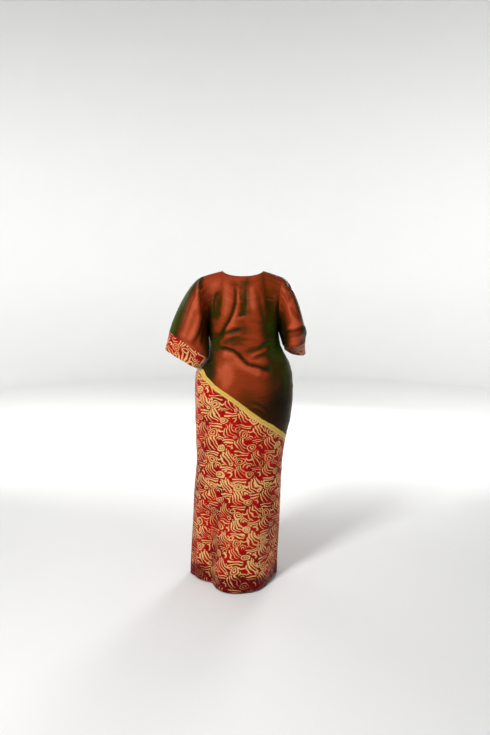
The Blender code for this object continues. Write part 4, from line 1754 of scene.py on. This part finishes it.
@dataclass
class SleeveWithCuff:
    """One wide elbow sleeve of shot silk with its brocade cuff."""

    hand: Hand
    under_way: Triple
    cuff_top: Ring
    cuff_hem: Ring
    silk: Material
    brocade: Material
    sleeve_cut: Cut
    cuff_cut: Cut
    silk_wall: float = 0.0016
    brocade_wall: float = 0.0020
    turns_each_way: int = 56
    rows: int = 62
    cuff_rows: int = 22
    fold_round: float = 0.27
    fold_along: float = 0.28
    tension: float = 0.72
    # Painted light on the sleeve: green shares by facing are painted sheen of the shot weave; the inner
    # side's olive and darkening are painted shade where it faces the body; the outer edge's green is painted
    # sheen; the shift toward copper is a painted highlight across the sleeve.
    green_left: float = 0.40
    green_right: float = 0.50
    inner_shade_olive: float = 0.44
    inner_shade_dark: dict[Hand, float] = field(default_factory=lambda: {Hand.LEFT: 0.40, Hand.RIGHT: 0.76})
    outer_sheen_green: dict[Hand, float] = field(default_factory=lambda: {Hand.LEFT: 0.95, Hand.RIGHT: 0.72})
    crown_highlight: float = 0.36
    # Wine on each cuff's underside: painted shade.
    cuff_wine: dict[Hand, tuple[float, float]] = field(
        default_factory=lambda: {Hand.LEFT: (0.35, 0.55), Hand.RIGHT: (1.0, 0.85)})

    def turns(self) -> Points:
        """Places round the sleeve, 0 under the arm over the back to 1 and over the front to 2.

        Returns:
            The places in order.
        """
        even = np.arange(self.turns_each_way) / self.turns_each_way
        edge = np.array([float(self.hand.value)])
        back = 1.0 - FORM.top_level(Side.BACK, edge, 0.003)
        front = 1.0 - FORM.top_level(Side.FRONT, edge, 0.003)
        half_back = np.concatenate((even[even < back[0] - 0.004], back))
        half_front = np.concatenate((even[even < front[0] - 0.004], front))
        return np.concatenate((half_back, [1.0], 2.0 - half_front[::-1]))

    def ring(self, ring: Ring, turns: Points) -> Points:
        """Points of an oval ring, even round it.

        Args:
            ring: the oval.
            turns: places round the sleeve.

        Returns:
            One point for each place.
        """
        under = np.array(ring.under)
        over = np.array(ring.over)
        upward = unit(over - under)
        forward = np.array(ring.forward)
        forward = unit(forward - upward * float(forward @ upward))
        angle = np.linspace(0.0, math.pi, 121)
        along = -np.cos(angle) * np.linalg.norm(over - under) / 2.0
        away = np.sin(angle) * ring.half_width
        length = np.concatenate(([0.0], np.cumsum(np.hypot(np.diff(along), np.diff(away)))))
        place = np.where(turns <= 1.0, turns, 2.0 - turns) * length[-1]
        side = np.where(turns <= 1.0, -1.0, 1.0)
        step_up = np.interp(place, length, along)[:, None]
        step_out = (side * np.interp(place, length, away))[:, None]
        return (under + over) / 2.0 + upward * step_up + forward * step_out

    def armhole(self, turns: Points) -> tuple[Points, Points]:
        """Points of the armhole, and the directions in which the sleeve leaves it.

        Args:
            turns: places round the sleeve.

        Returns:
            One point and one unit direction for each place.
        """
        edge = float(self.hand.value)
        points, ways = [], []
        for side, chosen in ((Side.BACK, turns <= 1.0), (Side.FRONT, turns > 1.0)):
            rise = np.where(turns[chosen] <= 1.0, turns[chosen], 2.0 - turns[chosen])
            level = 1.0 - rise
            point = FORM.cloth(side, np.full(level.shape, edge), level)
            inner = FORM.cloth(side, np.full(level.shape, edge * 0.985), level)
            outward = FORM.normal(side, np.full(level.shape, edge * 0.99), level)
            outward = unit(outward + np.array((edge * 0.8, 0.0, -0.35)))
            turn_out = (1.0 - smooth((rise - 0.25) / 0.75))[:, None]
            way = unit(point - inner) * (1.0 - turn_out) + outward * turn_out
            turn_down = (1.0 - smooth(rise / 0.22))[:, None]
            way = unit(way * (1.0 - turn_down) + np.array(self.under_way) * turn_down)
            points.append(point + way * FORM.seam_gap)
            ways.append(way)
        starts, leaving = np.concatenate(points), np.concatenate(ways)
        starts[-1], leaving[-1] = starts[0], leaving[0]
        return starts, leaving

    def folds(self, turns: Points, alongs: Points) -> Points:
        """How far the folds move the sleeve out.

        Args:
            turns: places round the sleeve.
            alongs: places along it, from 0 to 1.

        Returns:
            The moves outward.
        """
        x = np.broadcast_to(turns * self.fold_round, (len(alongs), len(turns)))
        y = np.broadcast_to((alongs * self.fold_along)[:, None], x.shape)
        height = np.zeros(x.shape)
        for fold in SLEEVE_FOLDS + FINE_SLEEVE_FOLDS:
            if fold.hand is self.hand:
                path = [(point[0] * self.fold_round, point[1] * self.fold_along) for point in fold.path]
                height += fold_height(x, y, fold, path)
        pucker = 0.0007 * (np.sin(turns * 64.0) + 0.6 * np.sin(turns * 41.0 + 1.0))
        height += pucker * np.exp(-(((alongs - 0.10) / 0.09) ** 2))[:, None]
        return height * (smooth(alongs / 0.12) * smooth((1.0 - alongs) / 0.15))[:, None]

    def build_sleeve(self, turns: Points, tops: Points, hems: Points) -> Piece:
        """Lay the sleeve's cloth from the armhole to the cuff and dress it.

        Args:
            turns: places round the sleeve.
            tops: the ring where the cuff starts.
            hems: the ring at the cuff's edge.

        Returns:
            The sleeve.
        """
        starts, ways = self.armhole(turns)
        end_ways = unit(hems - tops)
        inner = np.arange(1, self.rows) / self.rows
        alongs = np.concatenate(([0.0, 0.012], inner[inner > 0.02][inner[inner > 0.02] < 0.98], [0.988, 1.0]))
        t = alongs[:, None, None]
        pull = self.tension * np.linalg.norm(tops - starts, axis=1)[None, :, None]
        shape = (starts * (2.0 * t**3 - 3.0 * t**2 + 1.0) + ways * pull * (t**3 - 2.0 * t**2 + t)
                 + tops * (3.0 * t**2 - 2.0 * t**3) + end_ways * pull * (t**3 - t**2))
        normals = surface_normals(shape, closed=True) * self.hand.value
        fold = self.folds(turns, alongs)
        fold[:, -1] = fold[:, 0]
        points = shape + normals * fold[..., None]
        facing = surface_normals(points, closed=True) * self.hand.value
        layers = silk_layers(points, facing, local_part(fold, 4), None, self.green_left, self.green_right)
        # Painted shade on the inner side, painted sheen along the outer edge, and a painted highlight all
        # over.
        inner = smooth((0.46 - np.minimum(turns, 2.0 - turns)) / 0.34) * np.ones(fold.shape)
        outer = smooth((0.62 - np.abs(turns - 1.10)) / 0.42) * np.ones(fold.shape)
        painted_light_tone = self.inner_shade_olive * inner - self.crown_highlight + self.outer_sheen_green[self.hand] * outer
        layers["shot"] = np.clip(layers["shot"] + painted_light_tone, -0.5, 1.2)
        layers["painted_shade"] = np.clip(layers["painted_shade"] + self.inner_shade_dark[self.hand] * inner, 0.0, 1.0)
        grain = np.stack((np.broadcast_to(turns * 0.21, fold.shape),
                          np.broadcast_to((-alongs * 0.26)[:, None], fold.shape)), axis=-1)
        name = "sleeve_" + self.hand.word
        piece = lay_sheet(name + "_silk", points, grain, layers, self.silk_wall, closed=True,
                          flip=self.hand is Hand.RIGHT)
        return place_piece(piece, self.silk, name)

    def build_cuff(self, turns: Points, tops: Points, hems: Points) -> Piece:
        """Lay the cuff's cloth and dress it.

        Args:
            turns: places round the sleeve.
            tops: the ring where the cuff starts.
            hems: the ring at the cuff's edge.

        Returns:
            The cuff.
        """
        first = tops + unit(hems - tops) * FORM.seam_gap
        share = np.linspace(0.0, 1.0, self.cuff_rows + 1)
        points = first + (hems - first) * share[:, None, None]
        normals = surface_normals(points, closed=True) * self.hand.value
        length = np.linalg.norm(hems - first, axis=1)
        from_hem = (1.0 - share)[:, None] * length[None, :]
        channel = np.exp(-(((from_hem - 0.007) / 0.0025) ** 2)) * 0.0006
        wave = 0.0008 * np.sin(turns * 21.0 + 0.5)[None, :] * smooth(share / 0.3)[:, None]
        wave[:, -1] = wave[:, 0]
        points = points + normals * (wave - channel)[..., None]
        grain = np.stack((np.broadcast_to(turns * 0.19, channel.shape), -from_hem), axis=-1)
        # Painted shade: the cuff goes to wine on its underside.
        dark, reach = self.cuff_wine[self.hand]
        wine = np.broadcast_to((dark * smooth((reach - np.minimum(turns, 2.0 - turns)) / 0.40))[None, :],
                               channel.shape)
        name = "cuff_" + self.hand.word
        piece = lay_sheet(name + "_brocade", points, grain, {"wine": wine}, self.brocade_wall, closed=True,
                          flip=self.hand is Hand.RIGHT)
        return place_piece(piece, self.brocade, name)

    def build(self) -> tuple[Piece, Piece]:
        """Build the sleeve and its cuff.

        Returns:
            Both pieces.
        """
        turns = self.turns()
        tops = self.ring(self.cuff_top, turns)
        hems = self.ring(self.cuff_hem, turns)
        return self.build_sleeve(turns, tops, hems), self.build_cuff(turns, tops, hems)


@dataclass
class Stitching:
    """Rows of sewing that show on the outside, made of small rounded stitches."""

    red: Material
    gold: Material
    copper: Material
    length: float = 0.0026
    pitch: float = 0.0038
    thick: float = 0.00045
    sink: float = 0.0001
    hem_height: float = 0.014
    neck_inset: float = 0.005
    braid_inset: float = 0.0084
    braid_lift: float = 0.0019
    cuff_inset: float = 0.007

    def row(self, bm: bmesh.types.BMesh, points: Points, normals: Points) -> int:
        """Sew one row of stitches along a line of points.

        Args:
            bm: the mesh that takes the stitches.
            points: the line, on the cloth's outer face.
            normals: the outward directions along it.

        Returns:
            How many stitches were sewn.
        """
        length = np.concatenate(([0.0], np.cumsum(np.linalg.norm(np.diff(points, axis=0), axis=1))))
        count = int(length[-1] / self.pitch)
        for k in range(count):
            places = [(k + 0.5) * self.pitch + way * self.length / 2.0 for way in (-1.0, 0.0, 1.0)]
            start, middle, stop = (np.array([np.interp(place, length, points[:, axis]) for axis in range(3)])
                                   for place in places)
            out = np.array([np.interp(places[1], length, normals[:, axis]) for axis in range(3)])
            along = Vector(stop - start).normalized()
            up = Vector(out)
            up = (up - along * up.dot(along)).normalized()
            side = up.cross(along)
            turn = Matrix((along, side, up)).transposed().to_4x4()
            size = Matrix.Diagonal((self.length / 2.0, self.thick, self.thick * 0.8, 1.0))
            where = Matrix.Translation(Vector(middle) - up * self.sink)
            bmesh.ops.create_uvsphere(bm, u_segments=6, v_segments=4, radius=1.0, matrix=where @ turn @ size)
        return count

    def body_row(self, bm: bmesh.types.BMesh, side: Side, shares: Points, levels: Points, lift: float) -> int:
        """Sew a row over the body at given shares and levels."""
        return self.row(bm, FORM.cloth(side, shares, levels, lift), FORM.normal(side, shares, levels))

    def hem(self) -> Piece:
        """Sew the row that holds the skirt's hem.

        Returns:
            The row.
        """
        bm = bmesh.new()
        shares = np.linspace(-0.985, 0.985, 161)
        for side in Side:
            seam = FORM.seam_height(shares)
            levels = 2.0 + (seam - (FORM.hem_z + self.hem_height)) / (seam - FORM.hem_z)
            self.body_row(bm, side, shares, levels, -0.0004)
        return place_piece(object_of(bm, "hem_stitches"), self.red)

    def neck(self) -> Piece:
        """Sew the row that holds the turned edge of the neck.

        Returns:
            The row.
        """
        bm = bmesh.new()
        edge = FORM.neck_share * 0.955
        for side in Side:
            shares = np.linspace(-edge, edge, 121)
            self.body_row(bm, side, shares, FORM.top_level(side, shares, self.neck_inset), -0.0001)
        return place_piece(object_of(bm, "neck_stitches"), self.copper)

    def braid(self) -> Piece:
        """Sew the rows along both edges of the gold braid.

        Returns:
            The rows.
        """
        bm = bmesh.new()
        shares = np.linspace(-0.985, 0.985, 161)
        for side in Side:
            for below in (-self.braid_inset, self.braid_inset):
                self.body_row(bm, side, shares, FORM.seam_level(shares, below), self.braid_lift)
        return place_piece(object_of(bm, "braid_stitches"), self.gold)

    def cuffs(self, sleeves: Sequence[SleeveWithCuff]) -> Piece:
        """Sew the rows that hold the hems of the cuffs.

        Args:
            sleeves: the sleeves with their cuffs.

        Returns:
            The rows.
        """
        bm = bmesh.new()
        for sleeve in sleeves:
            turns = np.linspace(0.02, 1.98, 141)
            tops = sleeve.ring(sleeve.cuff_top, turns)
            hems = sleeve.ring(sleeve.cuff_hem, turns)
            length = np.linalg.norm(hems - tops, axis=1, keepdims=True)
            line = hems + (tops - hems) * self.cuff_inset / length
            way = unit(hems - tops)
            out = unit(np.cross(np.gradient(line, axis=0), way)) * sleeve.hand.value
            wave = 0.0008 * np.sin(turns * 21.0 + 0.5)
            self.row(bm, line + out * (wave - 0.0004)[:, None], out)
        return place_piece(object_of(bm, "cuff_stitches"), self.red)


@dataclass
class NeckClosing:
    """The small button beside the slit below the back neck, with the thread loop that holds it."""

    finish: Material
    thread: Material
    x: float = 0.026
    level: float = 0.05
    radius: float = 0.0030
    height: float = 0.0022
    loop_thick: float = 0.00042
    hole: float = 0.00028
    hole_from_middle: float = 0.0007
    hole_depth: float = 0.0004

    def place(self) -> Matrix:
        """The button's place: Z points out of the cloth.

        Returns:
            The place.
        """
        share = np.array([FORM.share_at_x(self.x, self.level)])
        level = np.array([self.level])
        out = Vector(FORM.normal(Side.BACK, share, level)[0])
        point = Vector(FORM.cloth(Side.BACK, share, level)[0]) + out * (self.height / 2.0 + FORM.seam_gap)
        return Matrix.Translation(point) @ out.to_track_quat("Z", "Y").to_matrix().to_4x4()

    def build_button(self) -> Piece:
        """Turn the button with a rounded rim, a dished face and two holes, and dress it.

        Returns:
            The button.
        """
        bm = bmesh.new()
        bmesh.ops.create_cone(bm, cap_ends=True, segments=48, radius1=self.radius, radius2=self.radius,
                              depth=self.height)
        rims = [edge for edge in bm.edges if abs(edge.verts[0].co.z - edge.verts[1].co.z) < 1e-6]
        bmesh.ops.bevel(bm, geom=rims, offset=0.0006, offset_type="OFFSET", affect="EDGES", segments=4,
                        profile=0.5, material=-1)
        top = max(bm.faces, key=lambda face: face.calc_center_median().z)
        bmesh.ops.inset_region(bm, faces=[top], thickness=0.0004, depth=-0.0003)
        for centre in (-self.hole_from_middle, self.hole_from_middle):
            place = Matrix.Translation((centre, 0.0, (self.height - self.hole_depth) / 2.0))
            bmesh.ops.create_cone(bm, cap_ends=True, segments=12, radius1=self.hole, radius2=self.hole,
                                  depth=self.hole_depth, matrix=place)
        bmesh.ops.transform(bm, matrix=self.place(), verts=bm.verts)
        piece = object_of(bm, "neck_button_turned")
        piece.data.set_sharp_from_angle(angle=math.radians(40.0))
        return place_piece(piece, self.finish, "neck_button")

    def build_loop(self) -> Piece:
        """Bend the thread loop from the slit's edge round the button and dress it.

        Returns:
            The loop.
        """
        bm = bmesh.new()
        bmesh.ops.create_circle(bm, cap_ends=False, segments=8, radius=self.loop_thick,
                                matrix=Matrix.Translation((self.radius + 0.0006, 0.0, 0.0))
                                @ Matrix.Rotation(math.radians(90.0), 4, "X"))
        ring = bm.verts[:] + bm.edges[:]
        bmesh.ops.spin(bm, geom=ring, cent=(0.0, 0.0, 0.0), axis=(0.0, 0.0, 1.0),
                       angle=math.radians(360.0), steps=40, use_merge=True, use_duplicate=False)
        bmesh.ops.scale(bm, vec=(1.32, 0.96, 1.0), verts=bm.verts)
        bmesh.ops.translate(bm, vec=(-0.0011, 0.0, -self.height / 2.0 + self.loop_thick), verts=bm.verts)
        bmesh.ops.recalc_face_normals(bm, faces=bm.faces)
        bmesh.ops.transform(bm, matrix=self.place(), verts=bm.verts)
        return place_piece(object_of(bm, "neck_loop"), self.thread)

    def build(self) -> tuple[Piece, Piece]:
        """Build the button and its loop."""
        return self.build_button(), self.build_loop()


@dataclass(frozen=True)
class Lamp:
    """A round soft light, aimed at a point."""

    name: str
    place: Triple
    aim: Triple
    size: float
    power: float


@dataclass
class Studio:
    """Plain pale floor and backdrop, soft lights and the camera."""

    camera_at: Triple = (0.009, -3.05, 0.06)
    camera_down: float = 9.29
    focal_rows: float = 673.0
    glow: float = 0.10
    frame_rows: float = 735.0
    floor_radius: float = 5.5
    wall_height: float = 5.0
    sweep_steps: int = 12
    sweep_step: float = 0.16
    pale: Colour = (0.80, 0.80, 0.795, 1.0)
    grey: Colour = (0.26, 0.26, 0.26, 1.0)
    lamps: tuple[Lamp, ...] = field(default_factory=lambda: (
        Lamp("key", (-1.9, -2.7, 1.7), (0.0, 0.0, -0.6), 0.9, 150.0),
        Lamp("fill", (2.2, -2.6, 0.2), (0.0, 0.0, -0.7), 1.6, 13.0),
        Lamp("top", (0.0, -0.6, 2.8), (0.0, 0.0, -0.6), 1.6, 12.0),
        Lamp("front_key", (1.2, 3.1, 0.5), (0.0, 0.0, -0.6), 1.2, 60.0),
        Lamp("front_fill", (-2.2, 2.4, 0.3), (0.0, 0.0, -0.7), 1.6, 14.0),
        Lamp("backdrop_left", (-2.6, 1.6, 0.9), (-1.6, 5.5, 0.2), 1.6, 105.0),
        Lamp("backdrop_right", (2.6, 1.6, 0.9), (1.6, 5.5, 0.2), 1.6, 105.0),
    ))

    def build_floor(self) -> Piece:
        """Sweep the floor up into a round backdrop.

        Returns:
            The floor.
        """
        bm = bmesh.new()
        bmesh.ops.create_circle(bm, cap_ends=True, segments=96, radius=self.floor_radius)
        edges = [edge for edge in bm.edges if edge.is_boundary]
        radius = self.floor_radius
        turns = [math.radians(90.0 * (k + 1) / self.sweep_steps) for k in range(self.sweep_steps)]
        steps = [(math.cos(turn) * self.sweep_step, math.sin(turn) * self.sweep_step) for turn in turns]
        for outward, upward in steps + [(0.0, self.wall_height)]:
            grown = bmesh.ops.extrude_edge_only(bm, edges=edges)
            verts = [part for part in grown["geom"] if isinstance(part, bmesh.types.BMVert)]
            edges = [part for part in grown["geom"] if isinstance(part, bmesh.types.BMEdge)]
            wider = 1.0 + outward / radius
            bmesh.ops.scale(bm, vec=(wider, wider, 1.0), verts=verts)
            bmesh.ops.translate(bm, vec=(0.0, 0.0, upward), verts=verts)
            radius += outward
        bmesh.ops.translate(bm, vec=(0.0, 0.0, float(CAD_BOX[0][2])), verts=bm.verts)
        bmesh.ops.recalc_face_normals(bm, faces=bm.faces)
        for face in bm.faces:
            face.smooth = len(face.verts) == 4
        floor = object_of(bm, "studio_floor", all_smooth=False)
        material, sketch, shader = new_finish("pale_floor")
        grain = sketch.noise(sketch.object_place(), (3.0, 3.0, 3.0), 2.0)
        _, y, z = sketch.split(sketch.object_place())
        behind = sketch.math("MULTIPLY", sketch.ease(y, 1.5, -1.5), sketch.ease(z, -1.2, -0.4))
        colour = sketch.mix(sketch.math("MULTIPLY", grain, 0.04), self.pale, self.grey)
        sketch.feed(shader.inputs["Base Color"], sketch.mix(behind, colour, self.grey))
        shader.inputs["Roughness"].default_value = 0.9
        floor.data.materials.append(material)
        return floor

    def build_lights(self) -> None:
        """Hang the soft lights and set the world's glow."""
        for lamp in self.lamps:
            light = bpy.data.lights.new(lamp.name, "AREA")
            light.shape = "DISK"
            light.size = lamp.size
            light.energy = lamp.power
            holder = bpy.data.objects.new(lamp.name, light)
            bpy.context.scene.collection.objects.link(holder)
            holder.location = lamp.place
            aim = Vector(lamp.aim) - Vector(lamp.place)
            holder.rotation_euler = aim.to_track_quat("-Z", "Y").to_euler()
        world = bpy.context.scene.world or bpy.data.worlds.new("studio")
        bpy.context.scene.world = world
        world.use_nodes = True
        glow = world.node_tree.nodes["Background"]
        glow.inputs["Color"].default_value = (1.0, 1.0, 1.0, 1.0)
        glow.inputs["Strength"].default_value = self.glow
        bpy.context.scene.view_settings.view_transform = "Standard"

    def build_camera(self) -> None:
        """Set up the camera at the photograph's height, distance and tilt."""
        camera = bpy.data.cameras.new("camera")
        camera.sensor_fit = "VERTICAL"
        camera.sensor_height = 36.0
        camera.lens = 36.0 * self.focal_rows / self.frame_rows
        camera.clip_end = 60.0
        holder = bpy.data.objects.new("camera", camera)
        bpy.context.scene.collection.objects.link(holder)
        holder.location = self.camera_at
        holder.rotation_euler = (math.radians(90.0 - self.camera_down), 0.0, 0.0)
        bpy.context.scene.camera = holder

    def build(self) -> None:
        """Build the floor, the lights and the camera."""
        self.build_floor()
        self.build_lights()
        self.build_camera()


def main() -> None:
    """Build the robe piece by piece, then the studio round it."""
    logging.basicConfig(level=logging.INFO, format="%(name)s: %(message)s")
    silk = ShotSilk().make()
    brocade = Brocade()
    chart = brocade.chart_tree()
    skirt_back = brocade.make(chart, "brocade_skirt_back", (0.020, 0.030, 0.0))
    skirt_front = brocade.make(chart, "brocade_skirt_front", (0.074, 0.052, 0.0))
    cuff_left = brocade.make(chart, "brocade_cuff_left", (0.010, 0.090, 0.0), 0.30)
    fine_brocade = Brocade(thin=-0.0013, full=-0.0003)
    cuff_right = fine_brocade.make(chart, "brocade_cuff_right", (0.052, 0.018, 0.0), -0.25)
    plait = PlaitedGold().make()
    threads = (
        Thread("wine_sewing_thread", (0.20, 0.010, 0.010, 1.0), (0.36, 0.03, 0.02, 1.0)).make(),
        Thread("gold_sewing_thread", (0.55, 0.34, 0.04, 1.0), (0.85, 0.62, 0.16, 1.0)).make(),
        Thread("copper_sewing_thread", (0.20, 0.05, 0.015, 1.0), (0.40, 0.11, 0.04, 1.0)).make(),
    )

    BodyPanel(Side.BACK, silk, Cut(0.60, 0.78, "draped", 0.290)).build()
    BodyPanel(Side.FRONT, silk, Cut(0.60, 0.78, "draped", 0.283)).build()
    SkirtPanel(Side.BACK, skirt_back, Cut(0.53, 1.04, "hung", 0.490, ("back_panel",))).build()
    SkirtPanel(Side.FRONT, skirt_front, Cut(0.53, 1.04, "hung", 0.478, ("front_panel",))).build()
    SlantBraid(Side.BACK, plait, Cut(0.0195, 0.66, "laid", None, ("back_panel", "skirt_back"))).build()
    SlantBraid(Side.FRONT, plait, Cut(0.0195, 0.66, "laid", None, ("front_panel", "skirt_front"))).build()
    sleeves = (
        SleeveWithCuff(
            Hand.LEFT, (-0.30, -0.60, -0.72),
            Ring((-0.158, -0.112, -0.380), (-0.329, -0.045, -0.268), 0.050, (-0.30, 0.94, 0.10)),
            Ring((-0.203, -0.078, -0.432), (-0.352, -0.010, -0.352), 0.056, (-0.30, 0.94, 0.10)),
            silk, cuff_left,
            Cut(0.46, 0.31, "hung", 0.110, ("back_panel", "front_panel")),
            Cut(0.43, 0.095, "hung", 0.037, ("sleeve_left",)),
        ),
        SleeveWithCuff(
            Hand.RIGHT, (0.32, -0.10, -0.92),
            Ring((0.180, -0.006, -0.332), (0.283, -0.002, -0.312), 0.090, (0.28, 0.94, 0.17)),
            Ring((0.194, 0.076, -0.354), (0.290, 0.058, -0.386), 0.090, (0.22, 0.96, 0.03)),
            silk, cuff_right,
            Cut(0.46, 0.31, "hung", 0.102, ("back_panel", "front_panel")),
            Cut(0.42, 0.100, "hung", 0.035, ("sleeve_right",)),
        ),
    )
    for sleeve in sleeves:
        sleeve.build()
    NeckClosing(DarkButton().make(), threads[-1]).build()
    sewing = Stitching(*threads)
    sewing.hem()
    sewing.neck()
    sewing.braid()
    sewing.cuffs(sleeves)
    Studio().build()

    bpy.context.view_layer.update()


if __name__ == "__main__":
    main()
